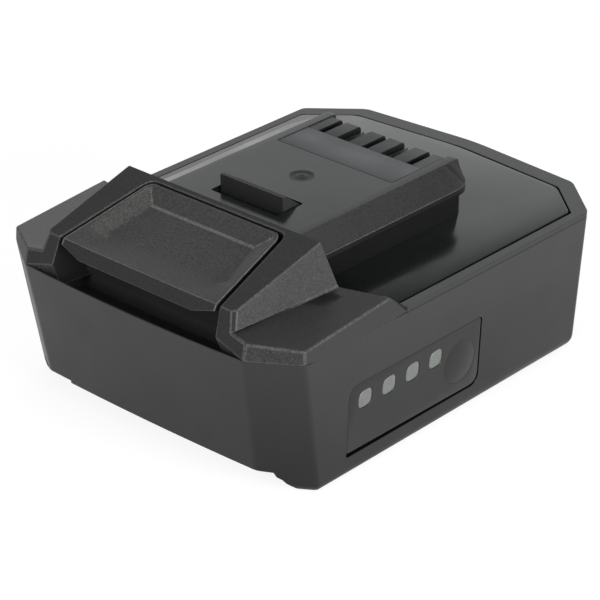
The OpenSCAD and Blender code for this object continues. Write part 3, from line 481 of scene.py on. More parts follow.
def halfWidth(z):
    return plan["halfWidth"] + plan["lean"] * (np.minimum(z, plan["seam"]) - plan["widthAt"])


def planCorners(z, rimGap=0.0):
    # bowed front, cut corners, peaked back; the sides lean out and the front rakes out with height
    below = plan["seam"] - min(z, plan["seam"])
    w = halfWidth(z)
    f = plan["front"] + plan["rake"] * below
    b = plan["back"] - plan["backRake"] * below
    bowX = np.linspace(-1, 1, plan["bowSteps"])
    front = np.column_stack([bowX * (w - plan["frontCut"][0]), f - plan["bow"] * (1 - bowX ** 2)])
    cheek = f + plan["frontCut"][1]
    neck = b - plan["backCut"][1]
    r = plan["rimStart"]
    side = [(w, cheek), (w, r - rimGap), (w, r + rimGap), (w, neck), (w - plan["backCut"][0], b)]
    mirror = [(-x, y) for x, y in side[::-1]]
    return np.vstack([front, side, [(0, b + plan["peak"])], mirror])


def sidePoint(y, z, out):
    # a point on the right side wall, moved outwards by out along the wall's normal
    lean = math.atan(plan["lean"])
    return upright(halfWidth(z) + out * math.cos(lean), y, z - out * math.sin(lean))


# charge gauge: steps and edges are how far an outline grows and how far out of the wall it lies
gauge = {
    "corners": [(-33.885, 5.75), (7.715, 5.55), (7.715, 21.2), (-33.885, 21.2)],
    "reach": (0.5, 2.6, 1.0, 3.0),
    "gaps": [(-0.015, -1.0), (0.42, -0.5), (0.42, 0.03), (-0.03, 0.03)], "thick": 1.6, "through": 1.0,
    "openingSteps": [(.33, .3), (0, -.03), (0, -4)], "faceEdge": [(0, -.1), (-.03, -.03), (-.1, 0)],
    "windows": 4, "windowFirst": -28.785, "windowPitch": 7.353, "windowZ": 16.9, "windowSize": (4.0, 3.9),
    "windowReach": (1.2, 1.9, 1.2, 1.9), "holeEdge": [(0, -.1), (.4, .3)],
    "paneGap": -.04, "paneEdge": [(-.04, -.12), (-.2, 0), (-.6, .05), (-1.6, .08)],
    "keyY": 1.215, "keyZ": 13.0, "keyRadius": 5.0, "keyGap": 0.03, "keyHoleTop": .24,
    "dome": 0.55, "domeSink": 0.02, "domeRows": 14, "keyWallTop": -.3,
}


def panelLoop(grow=0.0):
    # rounded outline of the gauge panel, or of its window in the wall where grow is 1
    return roundPath(np.add(gauge["corners"], np.multiply(gauge["gaps"], grow)), gauge["reach"])


def sideLoft(loop, steps):
    # carries an outline on the side wall through (grow, out) steps, growing it from its middle
    middle = (loop.min(0) + loop.max(0)) / 2
    half = (loop.max(0) - loop.min(0)) / 2
    rings = [sidePoint(*(middle + (loop - middle) * (1 + grow / half)).T, out) for grow, out in steps]
    return loft(rings)


def windowLoop(k):
    y, z = gauge["windowFirst"] + k * gauge["windowPitch"], gauge["windowZ"]
    a, b = gauge["windowSize"][0] / 2, gauge["windowSize"][1] / 2
    return roundPath(rectangle(y - a, y + a, z - b, z + b), gauge["windowReach"])


# tub
tub = {
    "wall": 2.2, "rimGap": 0.003, "ledge": {"neck": 1.5, "back": 2.0}, "wallRows": (10, 20, 30),
    "bottomRounds": (1.9, 3.0), "roundsAt": (-45.0, 40.0), "roundsLevel": 5, "roundRows": 6, "soleInset": 1.5,
    "innerRows": [(0, 18), (0, 7), (0.5, 5.5), (1.4, 4.9)],  # drawn in from the wall by, height
    "cornerReach": {"bow": 1.4, "front": 0.9, "cheek": 0.9, "step": 0.0,
                    "neck": 1.0, "back": 1.4, "peak": 4.0},
    "reachLoss": 0.3, "leastReach": 0.25,
    "footInner": 29.6, "footHeight": 2.9, "footSlope": 2.3, "footReach": (0.1, 0.1, 0.7, 0.7),
    "recessAlong": (-70, 70), "toeStep": -23.3, "toeLift": 0.6, "toeMeet": 0.01,
    "toe": [(-90, -30), (-42.6, -30), (-43.0, 0), (-43.8, 3.6), (-46.5, 4.4), (-49.6, 4.75), (-90, 20)],
    "toeByScrew": [(-90, -30), (-42.6, -30), (-42.95, -.1), (-43.75, -.05), (-44.0, 3.4), (-49.6, 4.75),
                   (-90, 20)],
    "screwWall": (-50.0, -32.9, -32.8),  # across: its outer end, its inner end, the plain toe's start
    "toeEnds": [(33.3, 0), (33.6, .7), (34.9, 2.2), (36.8, 3.3), (38.5, 4.1), (41, 4.8)],  # across, drop
    "screws": [(35.8, -41.09), (35.8, 38.51), (-35.8, -41.09), (-35.8, 38.51)],
    "counterbore": 1.8, "boreRows": (-0.2, 0.3, 2.6),
    "zones": [("plate", {"nz>": 0.9, "z>": plan["rim"] - 0.25})],  # the rim's top is as smooth as the plate
}
# drawn in by, height, share of the ledge: rear rim with its seam groove, then the plain front edge below the
# shoulders
rimRows = [
    (0, 31.8, 0), (.12, 31.94, 0), (.12, 32.04, 0), (0, 32.18, 0), (0, 32.6, 0), (0, 32.9, 0), (0, 33.15, 0),
    (.04, 33.25, 0), (1.2, 33.25, .5), (2.1, 33.25, 1), (2.2, 33.15, 1), (2.2, 31.5, 1), (2.2, 29, 0),
]
frontRows = [
    (0, 31.2, 0), (0, 31.3, 0), (0, 31.4, 0), (0, 31.5, 0), (0, 31.6, 0), (0, 31.7, 0), (0, 31.86, 0),
    (.04, 31.96, 0), (.14, 32, 0), (.3, 32, 0), (.45, 31.8, 0), (.8, 30.6, 0), (2.2, 29, 0),
]


def tubReach(inset):
    near = tub["cornerReach"]
    side = [near[k] for k in ("cheek", "step", "step", "neck", "back")]
    bow = [near["front"]] + [near["bow"]] * (plan["bowSteps"] - 2) + [near["front"]]
    reach = np.array(bow + side + [near["peak"]] + side[::-1])
    return np.where(reach > 0, np.maximum(reach - tub["reachLoss"] * inset, tub["leastReach"]), 0)


def ledgeShare():
    # extra width of the rim on the cut rear corners and along the back, edge by edge
    extra = np.zeros(plan["bowSteps"] + 11)
    first = plan["bowSteps"] + 3
    extra[[first, first + 3]] = tub["ledge"]["neck"]
    extra[[first + 1, first + 2]] = tub["ledge"]["back"]
    return extra


def tubRing(inset, z, ledge=0.0):
    corners = drawIn(planCorners(z, tub["rimGap"]), inset + ledge * ledgeShare())
    return atHeight(roundPath(corners, tubReach(inset), 4), z)


def tubShell():
    # the bottom's round grows from the front to the back
    turn = np.linspace(0, math.pi / 2, tub["roundRows"])
    small, large = ([tubRing(r * (1 - math.sin(a)), r * (1 - math.cos(a))) for a in turn]
                    for r in tub["bottomRounds"])
    share = np.interp(tubRing(0, tub["roundsLevel"])[:, 1], tub["roundsAt"], (0, 1))[:, None]
    bottom = [near + (far - near) * share for near, far in zip(small, large)]
    sole = tubRing(max(tub["bottomRounds"]) + tub["soleInset"], 0)
    wall = [tubRing(0, z) for z in tub["wallRows"]]
    inFront = tubRing(0, plan["seam"])[:, 1:2] < plan["rimStart"]
    top = [np.where(inFront, tubRing(*front), tubRing(*rear)) for front, rear in zip(frontRows, rimRows)]
    inner = [tubRing(tub["wall"] + inset, z) for inset, z in tub["innerRows"]]
    return loft([sole] + bottom + wall + top + inner)


def toeCutters():
    # undercut of the front: it fades out at the right end, and leaves a wall before the left screw
    y, z = np.array(tub["toe"]).T
    across, drop = np.array([(tub["toeStep"], 0)] + tub["toeEnds"]).T
    right = loft([upright(x, y, z - d) for x, d in zip(across, drop)])
    byScrew = np.array(tub["toeByScrew"]).T
    outer, inner, plain = tub["screwWall"]
    sides = [(outer, byScrew), (inner, byScrew), (plain, (y, z)), (tub["toeStep"] + tub["toeMeet"], (y, z))]
    left = loft([upright(x, a, b + tub["toeLift"]) for x, (a, b) in sides])
    return [addPiece("toe", surface, ["tub"]) for surface in (right, left)]


def makeTub():
    piece = addPiece("tub", tubShell(), ["tub", "plate"], merge=0.02)
    low, wide, lift = tub["footInner"], tub["footSlope"], tub["footHeight"]
    section = roundPath([(-low - wide, -lift), (low + wide, -lift), (low - wide, lift), (-low + wide, lift)],
                        tub["footReach"])
    hollow = loft([upright(section[:, 0], y, section[:, 1]) for y in tub["recessAlong"]])
    recess = addPiece("recess", hollow, ["tub"])
    opening = addPiece("opening", sideLoft(panelLoop(1), gauge["openingSteps"]), ["tub"])
    bore = [(tub["counterbore"], z) for z in tub["boreRows"]]
    bores = [addPiece("bore", turned(bore, place, upright), ["tub"]) for place in tub["screws"]]
    carve(piece, [recess, *toeCutters(), opening] + bores)
    coatFaces(piece, tub["zones"], measureFaces(piece))
    smoothFaces(piece, 32)
    dress(piece, "housing", "tub_plastic", "lower_housing")
    print("tub:", len(piece.data.polygons), "faces")


makeTub()


# plate of the cover; its edges are drawn in one by one, from the front round to the left side
plate = {
    "insets": (3.0, 2.7, 4.1, 4.6, 4.4, 3.8, 2.28), "front": -27.0, "rearFrom": 30.0, "under": 31.05,
    "reach": (0.3, 0.3, 1.2, 1.8, 4.0, 1.8, 1.2), "edge": [(0, .2), (.06, .05), (.2, 0)],  # inset, drop
    "well": (-19.0, 19.0, -40.0, -12.5), "wellHeights": (20, 50),  # open under the latch carrier
}


def plateRing(inset, z):
    corners = planCorners(plan["seam"])
    rear = corners[corners[:, 1] > plate["rearFrom"]]
    w = halfWidth(plan["seam"])
    ends = np.vstack([[(-w, plate["front"]), (w, plate["front"])], rear])
    return atHeight(roundPath(drawIn(ends, inset + np.array(plate["insets"])), plate["reach"]), z)


def makePlate():
    rows = [(0, plate["under"])] + [(inset, plan["rim"] - drop) for inset, drop in plate["edge"]]
    piece = addPiece("plate", loft([plateRing(*row) for row in rows]), ["plate"])
    well = prism(rectangle(*plate["well"]), *plate["wellHeights"])
    carve(piece, [addPiece("well", well, ["plate"])])
    smoothFaces(piece, 40)
    dress(piece, "housing", "cover_plastic", "upper_housing")


makePlate()


# rail with its lips
rail = {
    "start": -27.5, "end": 26.5, "straightRows": (-10, 10), "cornerRadius": 8.0, "cornerRows": 12,
    "flange": 24.93, "neckSetback": 1.5, "neckTop": 39.47, "endDrop": 0.6, "top": 44.5,
    "topFront": 17.4, "topBack": 17.2,
    "hookSlot": (-9.5, 9.5, -20.885, -12.885), "hookSlotFloor": 37.0, "hookSlotReach": 0.6,
    "pocket": (-16.45, 16.45, 7.15, clear), "pocketFloor": 34.0, "pocketReach": 0.4,
    # painted shade on the neck and the lip's side, the lip's edge worn with a painted highlight, painted
    # shade on slopes turning back, a painted sheen on the other slopes
    "zones": [("neck", {"z<": 39.6}), ("lip", {"z<": 41.41}), ("edge", {"z<": 41.57}),
              ("lip", {"ny>": 0.1, "nz>": 0.1, "nz<": 0.95}), ("slope", {"nz<": 0.95})],
}
mark = {"place": (0.0, -2.94), "radius": 2.75, "deep": 0.3, "cutAbove": 2.0}
# turned section of the round mark: radius, height under the rail's top
markSection = [
    (2.74, -.3), (2.74, -.04), (2.6, -.02), (2.35, -.16), (1.9, -.2), (1.0, -.14), (0.75, -.03), (0.5, -.03),
    (0.35, -.16), (0.02, -.16),
]
# half section: neck, groove under the lip, lip; then the sloped side's end, out from the top's half width
railSection = [(21.5, 32.0), (21.5, 38.5), (21.7, 39.1), (22.3, 39.45), (23.9, 39.5), (24.5, 39.75),
               (24.8, 40.3), (24.93, 41.42), (24.79, 41.56)]
railTop = [(1.65, 44.34), (1.45, 44.43), (0.7, 44.47), (0, 44.5)]


def railSurface():
    # section after section: the rear corners cut the width, and the neck stays back from the lip there
    r, end = rail["cornerRadius"], rail["end"]
    turn = np.linspace(0, math.pi / 2, rail["cornerRows"])
    straight = [rail["start"], *rail["straightRows"]]
    ys = np.concatenate([straight, end - r + r * np.sin(turn)])[:, None]
    clipX = np.concatenate([[clear] * len(straight), rail["flange"] - r + r * np.cos(turn)])[:, None]
    atEnd = np.clip((ys - (end - rail["endDrop"])) / rail["endDrop"], 0, 1)
    clipZ = rail["top"] - rail["endDrop"] * (1 - np.sqrt(1 - atEnd ** 2))
    topHalf = np.interp(ys, (rail["start"], end), (rail["topFront"], rail["topBack"]))
    sideX, sideZ = np.array(railSection).T
    topX, topZ = np.array(railTop).T
    x = np.minimum(np.hstack([sideX + 0 * ys, topHalf + topX]), clipX)
    z = np.minimum(np.concatenate([sideZ, topZ]) + 0 * ys, clipZ)
    y = ys - rail["neckSetback"] * np.clip((ys - end + r) / r, 0, 1) * (z < rail["neckTop"])
    right = np.stack([x, y, z], -1)
    return loft(np.concatenate([right, (right * [-1, 1, 1])[:, ::-1]], 1))


def railCutters():
    slotLoop = roundPath(rectangle(*rail["hookSlot"]), rail["hookSlotReach"])
    pocketLoop = roundPath(rectangle(*rail["pocket"]), rail["pocketReach"])
    low = rail["top"] - mark["deep"]
    seat = [(mark["radius"], low), (mark["radius"], low + mark["cutAbove"])]
    surfaces = {
        "slot": prism(slotLoop, rail["hookSlotFloor"], clear),
        "pocket": prism(pocketLoop, rail["pocketFloor"], clear),
        "seat": turned(seat, mark["place"], upright),
    }
    return [addPiece(name, surface, ["plate"]) for name, surface in surfaces.items()]


def makeRail():
    piece = addPiece("rail", railSurface(), ["plate", "slope", "neck", "lip", "edge"])
    carve(piece, railCutters())
    coatFaces(piece, rail["zones"], measureFaces(piece))
    easeEdges(piece, 0.12, 2, 36, crisp=9)
    dress(piece, "housing", "cover_plastic", "upper_housing")

    rows = [(radius, rail["top"] + drop) for radius, drop in markSection]
    disc = addPiece("rail_mark", turned(rows, mark["place"], upright, 64), ["hook"])
    smoothFaces(disc, 40)
    dress(disc, "housing", "cover_plastic", "upper_housing")
    print("rail:", len(piece.data.polygons), "faces")


makeRail()


# hood with its two shoulders: right half by named corners
hood = {
    "crestMiddle": (0, -27.3, 46.75), "crestEnd": (27.3, -27.3, 46.75),
    "openMiddle": (0, -28.5, 46.43), "openCorner": (19.3, -28.5, 46.43),
    "tipInner": (22.8, -51.7, 40.25), "tipFront": (25.85, -51.75, 40.24), "tipSide": (26.75, -50.95, 40.45),
    "stripFront": (26.75, -53.05, 36.3), "stripSide": (27.65, -52.3, 36.4),
    "topFront": (31.2, -53.5, 35.55), "seamFront": (31.35, -54.185, 32),
    "heel": (23.3, -53.7, 34.3), "heelFoot": (23.6, -51.4, 28.6), "tuck": (31.2, -52.3, 30),
    "topCheek": (41.4, -47.4, 35.05), "seamCheek": (41.55, -47.485, 32),
    "topRear": (41.2, -21.9, 37.1), "seamRear": (41.55, -20.9, 32),
    "rampTip": (41.5, -17.1, 33.2), "rampFoot": (41.55, -17.1, 32),
    "topInner": (31.0, -26.0, 37.6), "backMiddle": (0, -24.0, 36.2),
    "rearFoot": (41.2, -20.9, 32), "innerFoot": (31.0, -25.4, 32), "backFoot": (0, -23.5, 32),
    "openMiddleFoot": (0, -28.5, 30), "openCornerFoot": (19.3, -28.5, 30),
}
hoodStrip = ("tipFront", "stripFront", "stripSide", "tipSide")
hoodSkirt = ("heel", "heelFoot", "tuck", "seamFront")
hoodFaces = [
    ("tipInner", "heel", "seamFront", "topFront", "stripFront", "tipFront"), hoodStrip, hoodSkirt,
    ("topFront", "seamFront", "seamCheek", "topCheek"), ("topRear", "seamRear", "rampFoot", "rampTip"),
    ("topRear", "rampTip", "rampFoot", "rearFoot"), ("crestMiddle", "crestEnd", "topInner", "backMiddle"),
    ("backMiddle", "topInner", "innerFoot", "backFoot"), ("tuck", "seamFront", "seamCheek"),
    ("tuck", "seamCheek", "seamRear", "rampFoot", "rearFoot"), ("tuck", "rearFoot", "innerFoot"),
    ("heelFoot", "tuck", "innerFoot", "openCornerFoot"),
    ("openCornerFoot", "innerFoot", "backFoot", "openMiddleFoot"),
]
# share of the widest round that an edge gets
hoodRounds = {
    ("stripFront", "topFront"): 0.5, ("topFront", "topCheek"): 0.5, ("topCheek", "topRear"): 0.45,
    ("topFront", "seamFront"): 0.5, ("topCheek", "seamCheek"): 0.5, ("stripSide", "topInner"): 0.4,
    ("topRear", "rampTip"): 0, ("rampTip", "rampFoot"): 0, ("openCorner", "tipInner"): 0.42,
}
hoodExtra = {
    "openRound": 2.2, "arcSteps": 6, "patchSteps": 10, "round": 0.9, "otherRounds": 0.26,
    "rearShares": (0, 0.05, 0.45, 1), "rampAcross": (39.3, 41.25),
    "ramp": [(-23.2, 32), (-17.15, 32), (-17.15, 33.2), (-21.9, 36.95), (-23.2, 36.9)],
}
# painted shade on the strip beside the arm's end, smooth flanks, shoulder tops (the left one is smoother,
# with a painted sheen), painted light on the sides of the arms, the cut front corners and the skirt, painted
# shade on faces to the front, mouth round the button
hoodZones = [
    ("neck", {"fromStrip<": 0.3}), ("tub", {"x>": 41.1, "z>": 32.2}),
    ("slope", {"across<": 0, "x>": 27, "z<": 40, "nz>": 0.9}), ("shoulder", {"x>": 27, "z<": 40, "nz>": 0.9}),
    ("paintedLightSide", {"x>": 26, "z>": 36.5, "nx>": 0.85}), ("paintedLightSide", {"x>": 31, "nx>": 0.4, "ny<": -0.7}),
    ("edge", {"fromSkirt<": 0.4}), ("shade", {"nx<": 0.3, "ny<": -0.7}),
    ("hook", {"x<": 29, "y<": -40, "z<": 39, "nz<": 0.1}),
]


def between(a, b, share):
    return np.asarray(a) + (np.asarray(b) - np.asarray(a)) * np.asarray(share)[..., None]


def ruled(firstRow, secondRow, steps):
    # straight lines between two rows of points, cut into equal steps
    shares = np.linspace(0, 1, steps + 1)
    rows = np.array([between(firstRow, secondRow, np.full(len(firstRow), s)) for s in shares])
    return rows.reshape(-1, 3), gridFaces(len(rows), len(firstRow), ring=False)


def oneFace(*points):
    # a single face through rows of points
    points = np.vstack(points)
    return points, [list(range(len(points)))]


def joined(*surfaces):
    points, faces, start = [], [], 0
    for some, quads in surfaces:
        points.append(np.asarray(some, float))
        faces += [[start + k for k in quad] for quad in quads]
        start += len(some)
    return np.vstack(points), faces


def mirrored(surface):
    points, faces = surface
    return joined(surface, (np.asarray(points) * [-1, 1, 1], [face[::-1] for face in faces]))


def openingArc(p):
    # the opening's back corner is a parabola between its two edges
    corner, s = p["openCorner"], np.linspace(0, 1, hoodExtra["arcSteps"] + 1)[:, None]
    toMiddle, toTip = (corner + (end - corner) * hoodExtra["openRound"] / np.linalg.norm(end - corner)
                       for end in (p["openMiddle"], p["tipInner"]))
    return (1 - s) ** 2 * toMiddle + 2 * s * (1 - s) * corner + s ** 2 * toTip


def hoodSurface(p):
    names = list(p)
    flat = (np.array(list(p.values())), [[names.index(n) for n in face] for face in hoodFaces])
    arc = openingArc(p)
    foot = np.column_stack([arc[:, :2], np.full(len(arc), p["openCornerFoot"][2])])
    half = len(arc) // 2
    beam = oneFace(p["crestMiddle"], p["openMiddle"], arc[:half + 1], p["crestEnd"])
    arm = oneFace(p["crestEnd"], arc[half:], p["tipInner"], p["tipFront"], p["tipSide"])
    inner = ruled(np.vstack([p["openMiddle"], arc, p["tipInner"]]),
                  np.vstack([p["openMiddleFoot"], foot, p["heelFoot"]]), 1)
    heel = oneFace(p["tipInner"], p["heel"], p["heelFoot"])
    sill = oneFace(p["openMiddleFoot"], foot, p["heelFoot"], p["openCornerFoot"])
    # shoulder's top from its bent front edge to its straight rear edge; the arm's side and the rear face
    # share its edges
    steps = hoodExtra["patchSteps"]
    shares = np.linspace(0, 1, steps + 1)
    front = np.array([p[name] for name in ("stripSide", "stripFront", "topFront", "topCheek")])
    rear = between(p["topInner"], p["topRear"], np.array(hoodExtra["rearShares"]))
    shoulder = ruled(front, rear, steps)
    side = oneFace(p["crestEnd"], p["tipSide"], between(p["stripSide"], p["topInner"], shares))
    back = oneFace(rear, p["rearFoot"], p["innerFoot"])
    flank = ruled(between(p["topCheek"], p["topRear"], shares),
                  between(p["seamCheek"], p["seamRear"], shares), 1)
    ramp = carryAcross(hoodExtra["ramp"], hoodExtra["rampAcross"])
    return mirrored(joined(flat, beam, arm, inner, heel, sill, shoulder, flank, side, back, ramp))


def coatHood(piece, p):
    faces = measureFaces(piece)
    middles = np.column_stack([faces[axis] for axis in "xyz"])
    for name, corners in (("fromStrip", hoodStrip), ("fromSkirt", hoodSkirt)):
        faces[name] = np.linalg.norm(middles - np.mean([p[corner] for corner in corners], 0), axis=1)
    coatFaces(piece, hoodZones, faces)


def makeHood():
    p = {name: np.array(place, float) for name, place in hood.items()}
    coats = ["cover", "edge", "neck", "tub", "shoulder", "paintedLightSide", "shade", "hook", "slope"]
    piece = addPiece("hood", hoodSurface(p), coats)
    coatHood(piece, p)
    weighEdges(piece, [(p[a], p[b], share) for (a, b), share in hoodRounds.items()], hoodExtra["otherRounds"])
    ease = easeEdges(piece, hoodExtra["round"], 3, wornHighlightSlot=1, crisp=40)
    ease.limit_method = "WEIGHT"
    ease.use_clamp_overlap = False
    dress(piece, "housing", "cover_plastic", "upper_housing")
    print("hood:", len(piece.data.polygons), "faces")


makeHood()


# finger pocket under the button's lip
pocket = {
    "half": 24.5, "wall": 1.5, "front": -51.6, "back": -43.7, "floor": (26.9, 25.4), "top": 30.2,
    "sill": 28.6, "cheekDrop": 1.2,
}


def makePocket():
    # tray section carried across, with a plate at each side
    f, b, t = pocket["front"], pocket["back"], pocket["wall"]
    low, deep = pocket["floor"]
    half, top, sill = pocket["half"], pocket["top"], pocket["sill"]
    section = [(f, sill), (f + t, sill), (f + t, low), (b, deep), (b, top), (b + t, top), (b + t, deep - t),
               (f, low - t)]
    tray = carryAcross(section, (-half, half))
    cheek = [(f, sill - pocket["cheekDrop"]), (b + t, top), (b + t, deep - t), (f, low - t)]
    cheeks = [carryAcross(cheek, (side * half, side * (half + t))) for side in (1, -1)]
    piece = addPiece("finger_pocket", joined(tray, *cheeks), ["pocket"])
    smoothFaces(piece, 30)
    dress(piece, "housing", "cover_plastic", "upper_housing")


makePocket()


# release button
button = {
    "back": -29.25, "lip": -51.66, "lipFoot": -53.0, "halfBack": 18.6, "flare": 0.146, "cornerRound": 1.9,
    "planeAt": (-27.3, 46.75), "slope": 0.2665, "border": 0.7,
    "floorBack": (-33.3, 43.2), "crease": (-44.0, 39.9), "creaseRound": 0.4, "floorLip": 40.1,
    "foot": 0.06, "brow": 0.06, "leastWall": 0.3, "cornerPower": 5,
    "floorHalf": [(-33.3, 14.3), (-43.2, 16.6), (-44.8, 15.0), (-51.66, 14.5)],  # along, floor's half width
    "backWall": -29.9, "lipLow": 37.25, "lipRise": 1.6, "lipMiddle": 16.0, "lipSlant": 5.8, "lipRound": 0.14,
    "lipRows": 5, "chamfer": 0.2, "lipThick": 1.4, "under": 38.05, "underShrink": 0.985,
    "columns": 121, "cornerRows": 8, "rows": 72, "startGap": 0.02, "insideBack": 0.05,
    "underRow": 54, "heelRow": 6, "heelDrop": 5, "backDrop": 4.5,
}
# painted highlights on the foot of the back wall, the corners of the dish, the border and the lip; painted
# shade on the front face; painted light on the side walls
# side and rear are how far up the dish's walls a face is, and lean is side less rear
buttonZones = [
    ("shine", {"z>": button["crease"][1], "rear>": 0.02, "rear<": 0.16, "side<": 0.1}),
    ("shine", {"z>": button["crease"][1], "lean>": -0.07, "lean<": 0.07, "rear>": 0.1, "rear<": 0.9,
               "side<": 0.9}),
    ("shine", {"pastBorder>": -0.32, "nx<": 0.7, "ny<": 0.5, "nz>": -0.2}),
    ("shine", {"pastLip>": -0.17, "pastLip<": 0.17, "nz>": 0.2}),
    ("shade", {"ny<": -0.6, "z<": button["floorLip"]}),
    ("paintedLightWall", {"side>": 0.12, "side<": 0.95, "lean>": 0, "nz>": 0.3, "y>": button["crease"][0] - 2}),
]


def hoodPlane(y):
    return button["planeAt"][1] + button["slope"] * (y - button["planeAt"][0])


def softMax(a, b, blend):
    # the larger of two heights, with a round of about blend where they meet
    return (a + b + np.sqrt((a - b) ** 2 + blend ** 2)) / 2


def buttonHalf(y):
    r = button["cornerRound"]
    into = np.clip(r - (button["back"] - y), 0, r)
    return button["halfBack"] + (button["back"] - y) * button["flare"] - (r - np.sqrt(r ** 2 - into ** 2))


def dishWalls(x, y):
    # how far up the side wall and the back wall a place is: 0 on the floor, 1 at the border
    along, half = np.array(button["floorHalf"]).T
    wide = np.interp(-y, -along, half)
    edge = buttonHalf(y) - button["border"]
    side = softMax(0, (np.abs(x) - wide) / np.maximum(edge - wide, button["leastWall"]), button["foot"])
    start = button["floorBack"][0]
    rear = softMax(0, (y - start) / (button["backWall"] - start), button["foot"])
    return side, rear


def buttonTop(x, y):
    # hood plane with a dish: side walls and back wall run down to a floor that breaks at the crease
    yBack, zBack = button["floorBack"]
    yCrease, zCrease = button["crease"]
    fall = (zBack - zCrease) / (yBack - yCrease)
    band = (button["floorLip"] - zCrease) / (yCrease - button["lip"])
    floor = softMax(zCrease + band * (yCrease - y), zCrease + fall * (y - yCrease), button["creaseRound"])
    plane = hoodPlane(y)
    side, rear = dishWalls(x, y)
    power = button["cornerPower"]
    rise = 1 - softMax(0, 1 - (side ** power + rear ** power) ** (1 / power), button["brow"])
    return np.minimum(plane, floor + np.maximum(plane - floor, 0) * np.clip(rise, 0, 1))


def buttonSurface():
    b = button
    across = np.linspace(-1, 1, b["columns"])
    r, soft = b["cornerRound"], b["lipRound"]
    corner = np.linspace(0, math.pi / 2, b["cornerRows"])
    ys = np.concatenate([b["back"] - b["startGap"] - r * (1 - np.cos(corner)),
                         np.linspace(b["back"] - r, b["lip"] + soft, b["rows"])[1:]])
    topX = buttonHalf(ys)[:, None] * across
    topY = np.broadcast_to(ys[:, None], topX.shape)
    top = np.stack([topX, topY, buttonTop(topX, topY)], -1)
    # rounded lip edge, sloped front face and its chamfered lower edge
    tipX, tipZ = topX[-1], top[-1, :, 2]
    low = b["lipLow"] + b["lipRise"] * np.clip((np.abs(tipX) - b["lipMiddle"]) / b["lipSlant"], 0, 1)
    turn = np.linspace(0, math.pi / 2, b["lipRows"])[1:, None]
    edge = upright(tipX + 0 * turn, ys[-1] - soft * np.sin(turn), tipZ - soft * (1 - np.cos(turn)))
    footY = b["lip"] + (b["lipFoot"] - b["lip"]) * (tipZ - low) / (tipZ - b["lipLow"])
    # the underside goes back from the lip to a heel below the back edge
    u, h, shrink = b["underRow"], b["heelRow"], b["underShrink"]
    below = [upright(tipX, footY, low + b["chamfer"]), upright(tipX, footY + b["chamfer"], low),
             upright(tipX, footY + b["lipThick"], low),
             upright(topX[u] * shrink, ys[u], np.maximum(b["under"], low)),
             upright(topX[h] * shrink, ys[h], hoodPlane(ys[h]) - b["heelDrop"]),
             upright(topX[0], ys[0], hoodPlane(ys[0]) - b["backDrop"])]
    return loft(np.concatenate([top, edge, below]).transpose(1, 0, 2))


def coatButton(piece):
    faces = measureFaces(piece)
    inside = np.minimum(faces["y"], button["back"] - button["insideBack"])
    faces["side"], faces["rear"] = dishWalls(faces["x"], inside)
    faces["lean"] = faces["side"] - faces["rear"]
    faces["pastBorder"] = faces["x"] - buttonHalf(np.maximum(inside, button["lip"]))
    faces["pastLip"] = faces["y"] - button["lip"]
    coatFaces(piece, buttonZones, faces)


def makeButton():
    piece = addPiece("dished_button", buttonSurface(), ["button", "shine", "shade", "paintedLightWall"])
    coatButton(piece)
    easeEdges(piece, 0.16, 2, 40, wornHighlightSlot=1)
    dress(piece, "latch", "button_plastic", "release_button")
    print("release button:", len(piece.data.polygons), "faces")


makeButton()


# terminal insert
insert = {
    "half": 16.3, "front": 7.3, "step": 16.9, "stepHalf": 0.05, "back": 25.3, "under": 34.1,
    "top": 44.45, "low": 44.38, "backRound": [(.8, 0), (.25, .2), (0, .8)],  # before the back, drop
    "slots": {-12.6: 1.6, -6.3: 3.4, 0.0: 1.6, 6.3: 3.4, 12.6: 1.6},  # middle, width
    "slotStart": 17.2, "slotFloor": 34.6, "slotReach": 0.15,
    # upright faces, the slot walls, in painted shade; the toothed rear in the teeth tone
    "zones": [("slot", {"nz<": 0.5}), ("teeth", {"y>": 16.8})],
}


def makeInsert():
    along, drop = np.array(insert["backRound"]).T
    step, gap, top, low = insert["step"], insert["stepHalf"], insert["top"], insert["low"]
    ys = np.array([insert["front"], step - gap, step + gap, *(insert["back"] - along)])[:, None]
    zs = np.array([top, top, low, *(low - drop)])[:, None]
    x = insert["half"]
    rings = upright(np.array([-x, x, x, -x]), ys, np.where([True, True, False, False], insert["under"], zs))
    piece = addPiece("terminal_insert", loft(rings), ["insert", "teeth", "slot"])
    cutters = []
    for middle, wide in insert["slots"].items():
        outline = rectangle(middle - wide / 2, middle + wide / 2, insert["slotStart"], clear)
        surface = prism(roundPath(outline, insert["slotReach"]), insert["slotFloor"], clear)
        cutters.append(addPiece("slot", surface, ["insert"]))
    carve(piece, cutters)
    coatFaces(piece, insert["zones"], measureFaces(piece))
    easeEdges(piece, 0.1, 2, 35)
    dress(piece, "housing", "terminal_plastic", "terminal_block")


makeInsert()


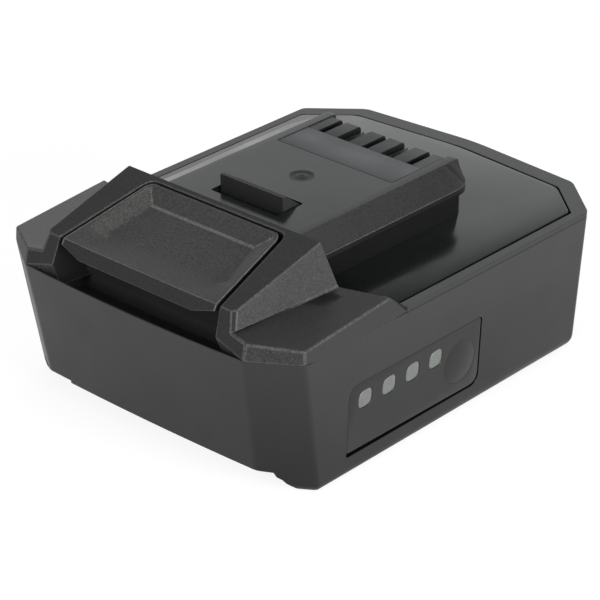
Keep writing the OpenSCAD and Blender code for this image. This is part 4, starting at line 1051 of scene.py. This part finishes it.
# the gauge's panel, light windows and push button
def makeGauge():
    deep = -gauge["thick"]
    through = deep - gauge["through"]
    windows = [windowLoop(k) for k in range(gauge["windows"])]
    panel = addPiece("gauge_face", sideLoft(panelLoop(), [(0, deep)] + gauge["faceEdge"]), ["gauge"])
    key = (gauge["keyY"], gauge["keyZ"])
    r = gauge["keyRadius"] + gauge["keyGap"]
    keyHole = turned([(r, through), (r, gauge["keyHoleTop"])], key, sidePoint)
    holes = [sideLoft(loop, [(0, through)] + gauge["holeEdge"]) for loop in windows]
    carve(panel, [addPiece("hole", surface, ["gauge"]) for surface in (keyHole, *holes)])
    smoothFaces(panel, 30)
    dress(panel, "housing", "gauge_plastic", "gauge_panel")

    panes = [sideLoft(loop, [(gauge["paneGap"], deep)] + gauge["paneEdge"]) for loop in windows]
    lights = addPiece("gauge_panes", joined(*panes), ["window"])
    smoothFaces(lights, 40)
    dress(lights, "housing", "window_plastic", "gauge_windows")

    # the push button's top is a parabola turned round its middle
    r = gauge["keyRadius"]
    shares = np.linspace(1, 0.02, gauge["domeRows"])
    crown = [(r * s, gauge["dome"] * (1 - s ** 2) - gauge["domeSink"]) for s in shares]
    profile = [(r, deep), (r, gauge["keyWallTop"])] + crown
    pad = addPiece("gauge_pad", turned(profile, key, sidePoint, 64), ["gauge"])
    smoothFaces(pad, 40)
    dress(pad, "gauge_key", "gauge_plastic", "gauge_button")


makeGauge()


# CAD pieces that keep their shape
kept = {
    "hook": ["latch_hook"], "steel": ["housing_screws", "latch_screws"],
    "spring": ["latch_spring_left", "latch_spring_right"],
    "contact": ["positive_contact", "negative_contact", "signal_contacts"],
    "cell": ["cell_%d" % k for k in range(1, 6)], "holder": ["cell_holder_left", "cell_holder_right"],
    "nickel": ["link_strip_%d" % k for k in range(1, 5)] + ["negative_tab", "positive_tab", "gauge_switch"],
    "paper": ["insulator_left", "insulator_right"], "laminate": ["circuit_board", "gauge_board"],
    "chip": ["power_transistors", "controller_chip"], "ceramic": ["board_capacitors"],
    "lightChip": ["gauge_leds"], "ribbon": ["gauge_ribbon"], "resin": ["temperature_sensor"],
}
for coat, names in kept.items():
    for name in names:
        nodes[name].data.materials.clear()
        nodes[name].data.materials.append(finishes[coat])
print("kept nodes dressed:", sum(len(names) for names in kept.values()))
